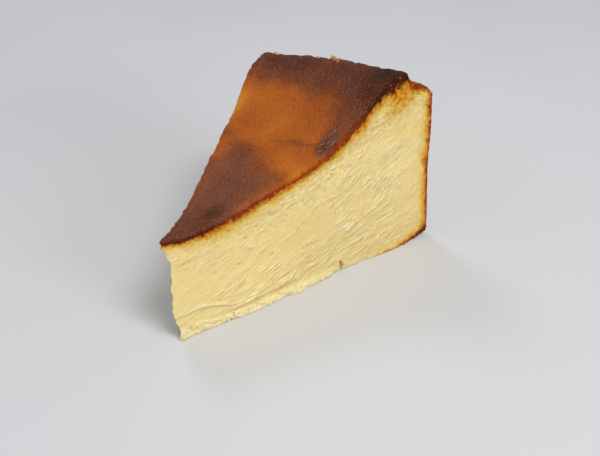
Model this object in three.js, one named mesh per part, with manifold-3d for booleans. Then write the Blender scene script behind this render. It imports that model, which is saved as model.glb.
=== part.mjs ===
// One slice of a burnt-top baked cheesecake without a crust: a thin wedge of set curd, cut with a
// dragging knife, under a scorched skin that sinks towards the cake's middle and stands up as a rim.
import * as THREE from "three";
import { mergeVertices } from "three/addons/utils/BufferGeometryUtils.js";
import Module from "manifold-3d";

const { lerp, smoothstep, degToRad } = THREE.MathUtils;

// Driving dimensions, in millimetres and degrees.
// The slice stands on z = 0 and points along -X, with its tip at the middle of the round cake.
const CAKE_RADIUS = 100;
const SLICE_ANGLE = degToRad(37.6);
const TIP_X = -CAKE_RADIUS / 2;
const TIP_HEIGHT = 34.8;
const SUNKEN_HEIGHT = 32.8;
const CREST_RADIUS = 83;
const CREST_HEIGHT = 61.8;
const SHOULDER_RADIUS = 95.8;
const SHOULDER_HEIGHT = 53;

// The top's line along the right-hand cut: radius from the tip, and height.
const TOP_LINE = new THREE.SplineCurve(
  [
    [0, TIP_HEIGHT],
    [15, SUNKEN_HEIGHT],
    [35, 37],
    [56, 44.4],
    [67, 51.6],
    [76, 58.7],
    [CREST_RADIUS, CREST_HEIGHT],
    [86.5, 58.8],
    [92, 56.8],
    [SHOULDER_RADIUS, SHOULDER_HEIGHT],
  ].map(([radius, height]) => new THREE.Vector2(radius, height)),
);

// How much the left-hand cut stands higher half way along, and lower at the crest.
const MIDDLE_RISE = 4.8;
const MIDDLE_SHIFT = 1.1;
const CREST_DROP = 3.3;
const CREST_SHARPNESS = 6;

// The skin's slow swells, and the crags where the rim breaks down to the wall.
const SWELL_HEIGHT = 0.4;
const SWELL_SIZE = 17;
const CRAG_HEIGHT = 0.8;
const CRAG_SIZE = 4.5;

// The wall leans in, turns under at its foot and keeps the folds of the baking paper.
const WALL_LEAN = CAKE_RADIUS - SHOULDER_RADIUS;
const FOOT_ROUND = 1.2;
const FOOT_SHARE = 0.06;
const FOLD_DEPTH = 1.1;
const FOLD_WIDTH = 10;

// The tip is worn back from the point where the cuts meet, under a beak of skin.
const TIP_WEAR_RIGHT = 2.8;
const TIP_WEAR_LEFT = 6;
const TIP_WAVE = 0.6;
const BEAK_RADIUS = 1.2;
const BEAK_SHARE = 0.9;

// The knife's drag marks climb outwards across the cut faces.
const DRAG_ANGLE = degToRad(14);
const DRAG_LENGTH = 22;
const DRAG_WIDTH = 6;
const DRAG_DEPTH = 0.4;

// Loose curd along the foot of each cut, and the foot's slow bow out of the cut's plane.
const CRUMB_BAND = 7;
const CRUMB_SIZE = 4.2;
const CRUMB_DEPTH = 1;
const BOW_HEIGHT = 26;
const BOW_MEAN = 0.6;
const BOW_SWING = 1.1;
const BOW_LENGTH = 70;
const BOW_START = 15;

// A smear of curd near the tip, proud of the crumbs below its falling lower edge.
const SMEAR_PROUD = 0.9;
const SMEAR_EDGE = [7.3, 1.9];
const SMEAR_FALL = [8, 28];
const SMEAR_LENGTH = [26, 44];
const SMEAR_LIP = 1.5;

// A nick in the foot of the right-hand cut.
const NICK_RADIUS = 61;
const NICK_WIDTH = 3;
const NICK_HEIGHT = 4.5;
const NICK_SIDES = 6;

// Flakes of pale curd that stand on the rim: share of the way out, share of the way across, length.
const FLAKES = [
  [0.83, 0.88, 3],
  [0.835, 0.6, 2.6],
  [0.84, 0.5, 3.4],
];
const FLAKE_SHAPE = new THREE.Vector3(0.5, 0.3, 0.24);

// Steps along, across and up the slice.
const STEPS_ALONG = 52;
const STEPS_ACROSS = 16;
const STEPS_UP = 22;

const CURD_COLOUR = 0xe3cf94;
const CURD_ROUGHNESS = 0.55;

// Which cut or surface a random pattern belongs to.
const SEED = { right: 1, left: 2, swell: 3, crag: 4, fold: 5 };
const CRUMB_SEED_STEP = 10;

// A repeatable number from -1 to 1 for a place on a grid.
function scatter(i, j, seed) {
  const wave = Math.sin(i * 127.1 + j * 311.7 + seed * 74.7) * 43758.5453;
  return 2 * (wave - Math.floor(wave)) - 1;
}

// Smooth lumps from -1 to 1, each about one unit across.
function lumps(x, y, seed) {
  const i = Math.floor(x);
  const j = Math.floor(y);
  const a = smoothstep(x - i, 0, 1);
  const b = smoothstep(y - j, 0, 1);
  const near = lerp(scatter(i, j, seed), scatter(i + 1, j, seed), a);
  const far = lerp(scatter(i, j + 1, seed), scatter(i + 1, j + 1, seed), a);
  return lerp(near, far, b);
}

// Radius of the worn tip at a share across the slice and a share of its height.
function tipRadius(across, up) {
  const wear = lerp(TIP_WEAR_RIGHT, TIP_WEAR_LEFT, across);
  const worn = wear + TIP_WAVE * Math.sin(3 * Math.PI * up);
  return lerp(worn, BEAK_RADIUS, smoothstep(up, BEAK_SHARE, 1));
}

// Radius of the baked wall at a share across the slice and a share of its height.
function wallRadius(across, up) {
  const arc = across * SLICE_ANGLE * CAKE_RADIUS;
  const fold = FOLD_DEPTH * lumps(arc / FOLD_WIDTH, 2 * up, SEED.fold);
  const foot = FOOT_ROUND * (1 - smoothstep(up, 0, FOOT_SHARE));
  return CAKE_RADIUS - WALL_LEAN * up - foot + fold;
}

// Height of the skin where the top's line has the given point.
function topHeight(line, across) {
  const out = Math.min(line.x / CREST_RADIUS, 1);
  const middle = Math.sin(Math.PI * out ** MIDDLE_SHIFT);
  const tilt = across * (MIDDLE_RISE * middle - CREST_DROP * out ** CREST_SHARPNESS);
  const arc = across * SLICE_ANGLE * line.x;
  const swell = SWELL_HEIGHT * lumps(line.x / SWELL_SIZE, arc / SWELL_SIZE, SEED.swell);
  const broken = smoothstep(line.x, CREST_RADIUS, SHOULDER_RADIUS);
  const crag = CRAG_HEIGHT * broken * lumps(line.x / CRAG_SIZE, arc / CRAG_SIZE, SEED.crag);
  return line.y + tilt + swell + crag;
}

// How far a cut face stands out of its plane at a radius and a height.
function cutRelief(radius, height, seed) {
  const along = radius * Math.cos(DRAG_ANGLE) + height * Math.sin(DRAG_ANGLE);
  const over = height * Math.cos(DRAG_ANGLE) - radius * Math.sin(DRAG_ANGLE);
  const drag = DRAG_DEPTH * lumps(along / DRAG_LENGTH, over / DRAG_WIDTH, seed);
  const low = 1 - smoothstep(height, 0, CRUMB_BAND);
  const crumb = CRUMB_DEPTH * low * lumps(radius / CRUMB_SIZE, height / CRUMB_SIZE, seed + CRUMB_SEED_STEP);
  const swing = Math.cos((2 * Math.PI * (radius - BOW_START)) / BOW_LENGTH);
  const bow = (BOW_MEAN + BOW_SWING * swing) * (1 - smoothstep(height, 0, BOW_HEIGHT));
  const edge = lerp(...SMEAR_EDGE, smoothstep(radius, ...SMEAR_FALL));
  const above = smoothstep(height, edge - SMEAR_LIP, edge) * (1 - smoothstep(height, edge, BOW_HEIGHT));
  const smear = SMEAR_PROUD * above * (1 - smoothstep(radius, ...SMEAR_LENGTH));
  return drag + crumb + bow + smear;
}

// The place in space of a point given by its shares along, across and up the slice.
function slicePoint(along, across, up) {
  const line = TOP_LINE.getPointAt(along);
  const inner = tipRadius(across, up);
  const radius = lerp(inner, wallRadius(across, up), line.x / SHOULDER_RADIUS);
  const angle = (across - 0.5) * SLICE_ANGLE;
  const height = up * topHeight(line, across);
  const point = new THREE.Vector3(TIP_X + radius * Math.cos(angle), radius * Math.sin(angle), height);
  if (across === 0 || across === 1) {
    const side = across === 0 ? -1 : 1;
    const relief = cutRelief(radius, height, side < 0 ? SEED.right : SEED.left);
    point.x -= relief * Math.sin(SLICE_ANGLE / 2);
    point.y += relief * Math.cos(SLICE_ANGLE / 2) * side;
  }
  return point;
}

// A stepped block, bent into the slice.
function sliceGeometry() {
  const block = new THREE.BoxGeometry(1, 1, 1, STEPS_ALONG, STEPS_ACROSS, STEPS_UP);
  const place = block.getAttribute("position");
  for (let i = 0; i < place.count; i += 1) {
    const point = slicePoint(place.getX(i) + 0.5, place.getY(i) + 0.5, place.getZ(i) + 0.5);
    place.setXYZ(i, point.x, point.y, point.z);
  }
  return block;
}

// A slim upright spike that leaves the nick where it is taken out of the cut's foot.
function nickGeometry() {
  const spike = new THREE.ConeGeometry(NICK_WIDTH / 2, 2 * NICK_HEIGHT, NICK_SIDES);
  spike.rotateX(Math.PI / 2);
  const relief = cutRelief(NICK_RADIUS, 0, SEED.right);
  const x = TIP_X + NICK_RADIUS * Math.cos(SLICE_ANGLE / 2) - relief * Math.sin(SLICE_ANGLE / 2);
  const y = -NICK_RADIUS * Math.sin(SLICE_ANGLE / 2) - relief * Math.cos(SLICE_ANGLE / 2);
  return spike.translate(x, y, 0);
}

// A many-sided flake, half sunk in the rim.
function flakeGeometry([along, across, length]) {
  const flake = new THREE.IcosahedronGeometry(length, 0);
  flake.scale(FLAKE_SHAPE.x, FLAKE_SHAPE.y, FLAKE_SHAPE.z);
  flake.rotateZ(Math.PI / 2 + (across - 0.5) * SLICE_ANGLE);
  const seat = slicePoint(along, across, 1);
  return flake.translate(seat.x, seat.y, seat.z);
}

const wasm = await Module();
wasm.setup();

// A closed geometry as a solid that can be joined and cut.
function solid(geometry) {
  const bare = geometry.clone();
  bare.deleteAttribute("normal");
  bare.deleteAttribute("uv");
  const merged = mergeVertices(bare);
  const vertProperties = new Float32Array(merged.getAttribute("position").array);
  const triVerts = new Uint32Array(merged.getIndex().array);
  return new wasm.Manifold(new wasm.Mesh({ numProp: 3, vertProperties, triVerts }));
}

// A joined or cut solid as a geometry with flat faces.
function geometryOf(body) {
  const { vertProperties, triVerts } = body.getMesh();
  const geometry = new THREE.BufferGeometry();
  geometry.setAttribute("position", new THREE.BufferAttribute(vertProperties, 3));
  geometry.setIndex(new THREE.BufferAttribute(triVerts, 1));
  geometry.computeVertexNormals();
  return geometry;
}

let body = solid(sliceGeometry()).subtract(solid(nickGeometry()));
for (const flake of FLAKES) {
  body = body.add(solid(flakeGeometry(flake)));
}

const curd = new THREE.MeshStandardMaterial({
  color: CURD_COLOUR,
  roughness: CURD_ROUGHNESS,
  metalness: 0,
});
const slice = new THREE.Mesh(geometryOf(body), curd);
slice.name = "slice";

const cheesecake = new THREE.Group();
cheesecake.add(slice);

export default cheesecake;
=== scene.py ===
"""One slice of burnt-top baked cheesecake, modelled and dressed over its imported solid.

The slice is a stepped block bent into a wedge, as the solid is. It carries the finer relief too: the marks of
the dragging knife, the crumbling foot, the pores under the skin and the pebbled, scorched skin itself.
Lengths are in millimetres until a mesh is written.
"""

import logging
import math
from collections.abc import Callable
from dataclasses import dataclass, fields
from enum import IntEnum
from functools import reduce

import bpy
import numpy as np
from mathutils import Matrix, Vector


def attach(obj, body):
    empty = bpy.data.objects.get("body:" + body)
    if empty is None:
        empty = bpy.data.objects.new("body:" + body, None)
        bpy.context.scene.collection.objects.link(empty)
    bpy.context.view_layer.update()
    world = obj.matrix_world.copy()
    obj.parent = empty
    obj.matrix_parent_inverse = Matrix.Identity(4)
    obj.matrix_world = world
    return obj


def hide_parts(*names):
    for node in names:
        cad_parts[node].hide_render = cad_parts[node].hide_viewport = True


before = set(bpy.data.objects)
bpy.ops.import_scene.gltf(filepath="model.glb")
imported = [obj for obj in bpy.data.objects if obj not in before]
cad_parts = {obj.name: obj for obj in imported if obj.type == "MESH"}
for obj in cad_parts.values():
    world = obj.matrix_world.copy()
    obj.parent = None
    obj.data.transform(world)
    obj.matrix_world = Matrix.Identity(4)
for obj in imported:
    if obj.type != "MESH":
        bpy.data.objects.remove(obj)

LOG = logging.getLogger("cheesecake")
Array = np.ndarray
Triple = tuple[float, float, float]
Span = tuple[float, float]
Line = tuple[Span, ...]
Stops = tuple[tuple[float, Triple], ...]
Strokes = tuple[tuple[float, Triple], ...]
Piece = bpy.types.Object
Mesh = bpy.types.Mesh
Tree = bpy.types.NodeTree
Node = bpy.types.Node
Socket = bpy.types.NodeSocket
Items = bpy.types.bpy_prop_collection

MM = 0.001
BODY = "root"
NODE = "slice"

SCATTER = (127.1, 311.7, 74.7, 43758.5453)
FINER = 2.1
TURN = 0.65
SEED_STEP = 0.37
CURVE_STEPS = 4001


class Seed(IntEnum):
    """Which random pattern is drawn. The first five are those of the solid."""

    RIGHT = 1
    LEFT = 2
    SWELL = 3
    CRAG = 4
    FOLD = 5
    TIP_CHIPS = 6
    PEBBLE = 7
    WALL_CREASE = 8
    DRIFT = 9
    CRUMBS = 10
    FLAKES = 11
    BLOTCH = 19
    BROAD_PEBBLE = 27
    WALL_PITS = 28
    SHOULDER = 29
    RIM_LUMPS = 37
    RIM_CRAGS = 47
    BASE_EDGE = 48
    CHAR_LINE = 49
    WRINKLE = 57
    CRUST_PATCH = 67
    FOOT_FLANGE = 68
    SHOULDER_EDGE = 69
    CRUST_FLECK = 72
    WALL_PATCH = 88


class Layer(IntEnum):
    """Which pattern of a cut is drawn, added to the seed of the cut."""

    CRUMB_BAND = 10
    FOOT_EDGE = 40
    FINE = 50
    CRUST = 60
    PATCHES = 70
    CURDLED = 80
    RAGGED = 90
    TEETH = 95
    MARKS = 100
    GRAINS = 200
    PORES = 300


class Face(IntEnum):
    """The faces of the block, in the order of the slice's material slots."""

    SKIN = 0
    CURD = 1
    WALL = 2
    BASE = 3
    CRUST = 4


def ramp(x: Array, low: float, high: float) -> Array:
    """Eases from 0 at low to 1 at high."""
    t = np.clip((x - low) / (high - low), 0.0, 1.0)
    return t * t * (3.0 - 2.0 * t)


def fade(x: Array, low: float, high: float) -> Array:
    """Eases from 1 at low to 0 at high."""
    return 1 - ramp(x, low, high)


def bell(x: Array, centre: float, width: float) -> Array:
    """Peaks at 1 at the centre and falls away to both sides over about a width."""
    return np.exp(-(((x - centre) / width) ** 2))


def mix(a: Array, b: Array, share: Array) -> Array:
    """Blends from a to b by a share from 0 to 1."""
    return a + (b - a) * share


def scatter(i: Array, j: Array, seed: float) -> Array:
    """Draws a repeatable number from -1 to 1 for each place on a grid."""
    wave = np.sin(i * SCATTER[0] + j * SCATTER[1] + seed * SCATTER[2]) * SCATTER[3]
    return 2.0 * (wave - np.floor(wave)) - 1.0


def lumps(x: Array, y: Array, seed: float) -> Array:
    """Makes smooth lumps from -1 to 1, each about one unit across.

    Args:
        x: First coordinate, in lump widths.
        y: Second coordinate, in lump widths.
        seed: Which pattern to draw.

    Returns:
        The height of the lumps.
    """
    i, j = np.floor(x), np.floor(y)
    a, b = ramp(x - i, 0.0, 1.0), ramp(y - j, 0.0, 1.0)
    near = mix(scatter(i, j, seed), scatter(i + 1, j, seed), a)
    far = mix(scatter(i, j + 1, seed), scatter(i + 1, j + 1, seed), a)
    return mix(near, far, b)


def turned(x: Array, y: Array, angle: float) -> tuple[Array, Array]:
    """Turns places on a plane round its origin."""
    return x * math.cos(angle) - y * math.sin(angle), x * math.sin(angle) + y * math.cos(angle)


def rough(x: Array, y: Array, seed: float, octaves: int) -> Array:
    """Adds finer and finer lumps, each turned against the last so that no grid shows.

    Args:
        x: First coordinate, in widths of the largest lump.
        y: Second coordinate, in widths of the largest lump.
        seed: Which pattern to draw.
        octaves: How many sizes of lump to add.

    Returns:
        The height of the lumps, from about -1 to 1.
    """
    total, weight = np.zeros_like(x), 1.0
    for octave in range(octaves):
        total = total + weight * lumps(x, y, seed + SEED_STEP * octave)
        x, y = (FINER * part for part in turned(x, y, TURN))
        weight *= 0.5
    return total / (2.0 - 2.0 ** (1 - octaves))


def smooth_curve(points: Line) -> Array:
    """Draws a smooth curve through points, as many short steps.

    Args:
        points: The points that it passes, at least two.

    Returns:
        Places on the curve, one row each.
    """
    knots = np.array(points)
    last = len(knots) - 1
    t = np.linspace(0.0, last, CURVE_STEPS)
    k = np.minimum(np.floor(t).astype(int), last - 1)
    f = (t - k)[:, None]
    before, start = knots[np.maximum(k - 1, 0)], knots[k]
    end, after = knots[k + 1], knots[np.minimum(k + 2, last)]
    leave, arrive = (end - before) / 2, (after - start) / 2
    cubic = 2 * start - 2 * end + leave + arrive
    square = 3 * end - 3 * start - 2 * leave - arrive
    return cubic * f**3 + square * f**2 + leave * f + start


def along_line(x: Array, line: Line) -> Array:
    """Reads a line of straight stretches at each place."""
    return np.interp(x, *zip(*line))


@dataclass(frozen=True)
class Pattern:
    """A rough pattern: how far it stands, how large its lumps are both ways, and which one it is."""

    height: float
    size: Span
    seed: int
    octaves: int = 3

    def at(self, x: Array, y: Array, cut: int = 0) -> Array:
        """Gives the pattern's relief, which each cut draws anew by its own seed."""
        return self.height * rough(x / self.size[0], y / self.size[1], cut + self.seed, self.octaves)


@dataclass(frozen=True)
class SliceForm:
    """Sizes of the slice, in millimetres and radians, and the surfaces that they give."""

    cake_radius: float = 100.0
    slice_angle: float = math.radians(37.6)
    crest_radius: float = 83.0
    shoulder_radius: float = 95.8
    top_points: Line = (
        (0.0, 34.8), (15.0, 32.8), (35.0, 37.0), (56.0, 44.4), (67.0, 51.6),
        (76.0, 58.7), (83.0, 61.8), (86.5, 58.8), (92.0, 56.8), (95.8, 53.0),
    )
    middle_rise: float = 4.8
    middle_shift: float = 1.1
    crest_drop: float = 3.3
    crest_sharpness: float = 6.0
    swell_height: float = 0.4
    swell_size: float = 17.0
    crag_height: float = 0.8
    crag_size: float = 4.5
    foot_round: float = 1.2
    foot_share: float = 0.06
    fold_depth: float = 1.1
    fold_width: float = 10.0
    tip_wear: Span = (2.8, 6.0)
    tip_wave: float = 0.6
    beak_radius: float = 1.2
    beak_share: float = 0.9

    @property
    def tip_x(self) -> float:
        """Where the cake's middle lies on the X axis."""
        return -self.cake_radius / 2

    @property
    def half(self) -> float:
        """The angle from the slice's centre line to a cut."""
        return self.slice_angle / 2

    def line(self, along: Array) -> tuple[Array, Array]:
        """Follows the top's line along the right-hand cut at even steps of its length.

        Args:
            along: Share of the line's length, from the tip to the shoulder.

        Returns:
            Radius from the tip, and height.
        """
        curve = smooth_curve(self.top_points)
        steps = np.hypot(*np.diff(curve, axis=0).T)
        length = np.concatenate([[0.0], np.cumsum(steps)])
        want = along * length[-1]
        return np.interp(want, length, curve[:, 0]), np.interp(want, length, curve[:, 1])

    def top_height(self, radius: Array, line_height: Array, across: Array) -> Array:
        """Gives the height of the skin.

        Args:
            radius: Radius from the tip.
            line_height: Height of the top's line at that radius.
            across: Share of the way from the right-hand cut to the left-hand one.

        Returns:
            Height above the base.
        """
        out = np.minimum(radius / self.crest_radius, 1.0)
        middle = np.sin(math.pi * out**self.middle_shift)
        tilt = across * (self.middle_rise * middle - self.crest_drop * out**self.crest_sharpness)
        arc = across * self.slice_angle * radius
        swell = self.swell_height * lumps(radius / self.swell_size, arc / self.swell_size, Seed.SWELL)
        broken = ramp(radius, self.crest_radius, self.shoulder_radius)
        crag = self.crag_height * broken * lumps(radius / self.crag_size, arc / self.crag_size, Seed.CRAG)
        return line_height + tilt + swell + crag

    def tip_radius(self, across: Array, up: Array) -> Array:
        """Gives the radius of the worn tip at shares across and up the slice."""
        worn = mix(*self.tip_wear, across) + self.tip_wave * np.sin(3 * math.pi * up)
        return mix(worn, self.beak_radius, ramp(up, self.beak_share, 1.0))

    def wall_radius(self, across: Array, up: Array) -> Array:
        """Gives the radius of the baked wall.

        Args:
            across: Share of the way from the right-hand cut to the left-hand one.
            up: Share of the way up the slice.

        Returns:
            Radius from the tip.
        """
        arc = across * self.slice_angle * self.cake_radius
        fold = self.fold_depth * lumps(arc / self.fold_width, 2 * up, Seed.FOLD)
        foot = self.foot_round * fade(up, 0.0, self.foot_share)
        lean = self.cake_radius - self.shoulder_radius
        return self.cake_radius - lean * up - foot + fold


@dataclass
class Shell:
    """Where each point of the bent block lies."""

    along: Array
    across: Array
    up: Array
    radius: Array
    angle: Array
    height: Array
    top: Array
    wall: Array

    @classmethod
    def bend(cls, form: SliceForm, shares: Array) -> "Shell":
        """Bends points of the unit block into the slice.

        Args:
            form: The slice's sizes.
            shares: Shares along, across and up the block, one row a point.

        Returns:
            The bent points.
        """
        along, across, up = shares.T
        line_radius, line_height = form.line(along)
        top = form.top_height(line_radius, line_height, across)
        wall = form.wall_radius(across, up)
        radius = mix(form.tip_radius(across, up), wall, line_radius / form.shoulder_radius)
        angle = (across - 0.5) * form.slice_angle
        return cls(along, across, up, radius, angle, up * top, top, wall)

    def pick(self, chosen: Array) -> "Shell":
        """Keeps only the chosen points."""
        return Shell(*(getattr(self, part.name)[chosen] for part in fields(self)))

    @property
    def flat(self) -> tuple[Array, Array]:
        """How far each point lies from the tip, along the centre line and to its side."""
        return self.radius * np.cos(self.angle), self.radius * np.sin(self.angle)

    @property
    def under_skin(self) -> Array:
        """How far each point lies below the skin."""
        return self.top - self.height

    @property
    def inside_wall(self) -> Array:
        """How far each point lies inside the wall."""
        return self.wall - self.radius

    def from_cut(self, form: SliceForm, at: float) -> Array:
        """Gives how far each point lies from the cut at 0, the right-hand one, or at 1."""
        return self.radius * np.sin(np.abs(self.across - at) * form.slice_angle)


@dataclass(frozen=True)
class DragMarks:
    """Whisker-like ridges that the dragging knife leaves on a cut, steep on their lower side."""

    count: int = 300
    length: Span = (3.0, 11.0)
    rise: Span = (0.08, 0.22)
    steep: Span = (0.42, 0.65)
    gentle: Span = (0.5, 1.0)
    slant_low: float = math.radians(15.0)
    slant_high: float = math.radians(30.0)
    slant_spread: float = math.radians(14.0)
    slant_height: float = 46.0
    bend: float = 0.025
    reach_out: Span = (3.0, 98.0)
    reach_up: Span = (2.5, 58.0)
    margin: float = 3.0
    shade_drop: float = 1.1

    def relief(self, radius: Array, height: Array, seed: int) -> tuple[Array, Array]:
        """Raises the ridges.

        Args:
            radius: Radius of each point of the cut.
            height: Height of each point of the cut.
            seed: Which cut it is.

        Returns:
            How far each point stands out, and how shaded it is by a ridge above it.
        """
        draw = np.random.default_rng(Layer.MARKS + seed)
        total, shade = np.zeros_like(radius), np.zeros_like(radius)
        for _ in range(self.count):
            at_radius, at_height = draw.uniform(*self.reach_out), draw.uniform(*self.reach_up)
            climb = min(at_height / self.slant_height, 1.0)
            slant = mix(self.slant_low, self.slant_high, climb) + draw.normal(0.0, self.slant_spread)
            half = draw.uniform(*self.length) / 2
            rise, steep, gentle = (draw.uniform(*span) for span in (self.rise, self.steep, self.gentle))
            bend = draw.normal(0.0, self.bend)
            reach = half + self.margin
            close = np.flatnonzero((abs(radius - at_radius) < reach) & (abs(height - at_height) < reach))
            p, q = turned(radius[close] - at_radius, height[close] - at_height, -slant)
            q = q - bend * p**2
            crest = rise * np.clip(1 - (p / half) ** 2, 0.0, 1.0)
            total[close] += crest * np.where(q > 0, np.exp(-q / gentle), bell(q, 0.0, steep))
            shade[close] += crest * bell(q, -self.shade_drop * steep, steep)
        return total, shade


@dataclass(frozen=True)
class FootCrumble:
    """Loose curd along the foot of a cut, as a band of overlapping grains."""

    count: int = 520
    reach_out: Span = (1.0, 99.0)
    reach_up: Span = (0.0, 1.1)
    grain: Span = (0.50, 1.25)
    top: Line = (
        (0.0, 4.2), (4.0, 4.0), (10.0, 3.6), (14.0, 3.2), (19.0, 2.8), (25.0, 2.4), (46.0, 2.8), (60.0, 3.4),
        (68.0, 2.6), (76.0, 1.2), (100.0, 0.6),
    )
    top_wave: Pattern = Pattern(0.6, (4.0, 4.0), Layer.FOOT_EDGE, 2)
    top_soft: Span = (-0.5, 0.4)
    fades: Span = (44.0, 66.0)
    far_share: float = 0.45
    stand: float = 0.62
    recess: float = 0.22
    valley_share: float = 0.25
    full_grain: float = 0.7

    def relief(self, radius: Array, height: Array, seed: int) -> tuple[Array, Array]:
        """Raises the grains.

        Args:
            radius: Radius of each point of the cut.
            height: Height of each point of the cut.
            seed: Which cut it is.

        Returns:
            How far each point stands out, and how pale it is painted: the band's own paler curd, lightest on
            the grains' tops as painted highlight.
        """
        draw = np.random.default_rng(Layer.GRAINS + seed)
        grains = np.zeros_like(radius)
        for _ in range(self.count):
            at_radius = draw.uniform(*self.reach_out)
            at_height = draw.uniform(*self.reach_up) * along_line(at_radius, self.top)
            size = draw.uniform(*self.grain)
            close = np.flatnonzero((abs(radius - at_radius) < size) & (abs(height - at_height) < size))
            away = np.hypot(radius[close] - at_radius, height[close] - at_height) / size
            dome = self.stand * size * np.sqrt(np.clip(1 - away**2, 0.0, 1.0))
            grains[close] = np.maximum(grains[close], dome)
        edge = along_line(radius, self.top) + self.top_wave.at(radius, height, seed)
        share = fade(height, edge + self.top_soft[0], edge + self.top_soft[1])
        share = share * mix(1.0, self.far_share, ramp(radius, *self.fades))
        # Paler on the grains' tops than between them: painted highlight over the band's own paler tone
        full = np.clip(grains / (self.full_grain * self.stand), 0.0, 1.0)
        return (grains - self.recess) * share, share * mix(self.valley_share, 1.0, full)


@dataclass(frozen=True)
class Pores:
    """Small holes in the curd, thickest just under the skin and towards the rim."""

    count: int = 110
    reach_out: float = 97.0
    start: float = 1.8
    band: float = 7.0
    size: Span = (0.35, 0.7)
    flatness: float = 1.3
    depth: float = 0.40

    def relief(self, radius: Array, below: Array, seed: int) -> Array:
        """Sinks the holes.

        Args:
            radius: Radius of each point of the cut.
            below: How far each point lies below the skin.
            seed: Which cut it is.

        Returns:
            How far each point stands back, as a positive depth.
        """
        draw = np.random.default_rng(Layer.PORES + seed)
        total = np.zeros_like(radius)
        for _ in range(self.count):
            at_radius = self.reach_out * math.sqrt(draw.uniform(0.0, 1.0))
            at_below = self.start + draw.exponential(self.band)
            size = draw.uniform(*self.size)
            close = np.flatnonzero((abs(radius - at_radius) < 2 * size) & (abs(below - at_below) < 2 * size))
            away = np.hypot(radius[close] - at_radius, (below[close] - at_below) * self.flatness)
            total[close] = np.maximum(total[close], self.depth * bell(away, 0.0, size))
        return total


@dataclass(frozen=True)
class SmearTongue:
    """A tongue of curd smeared over a cut, with a soft lip along its lower edge."""

    edge: Line
    begin: Span
    end: Span
    reach: float
    rise: float
    edge_soft: float = 0.45
    # Where the lip takes a painted highlight and the hollow under it takes painted shade
    lip: Span = (0.4, 0.7)
    hollow: Span = (-0.65, 0.32)

    def shares(self, radius: Array, height: Array) -> tuple[Array, Array, Array]:
        """Gives where the tongue lies.

        Args:
            radius: Radius of each point of the cut.
            height: Height of each point of the cut.

        Returns:
            Shares of the tongue, of its lip, which takes a painted highlight, and of the hollow under the
            lip, which takes painted shade.
        """
        along = ramp(radius, *self.begin) * fade(radius, *self.end)
        above = height - along_line(radius, self.edge)
        body = ramp(above, -self.edge_soft, 0.0) * fade(above, 0.0, self.reach)
        return body * along, bell(above, *self.lip) * along, bell(above, *self.hollow) * along


SMEARS = (
    SmearTongue(
        edge=((0.0, 8.3), (6.0, 8.5), (9.4, 9.0), (13.0, 8.3), (16.5, 7.1), (20.0, 5.9), (24.0, 4.6)),
        begin=(-2.0, -1.0), end=(15.0, 24.0), reach=18.0, rise=0.38,
    ),
    SmearTongue(
        edge=((18.0, 3.8), (25.0, 4.2), (31.0, 4.6), (38.0, 4.9), (46.0, 5.3), (56.0, 7.0)),
        begin=(18.0, 22.0), end=(36.0, 54.0), reach=13.0, rise=0.5,
    ),
)


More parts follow.
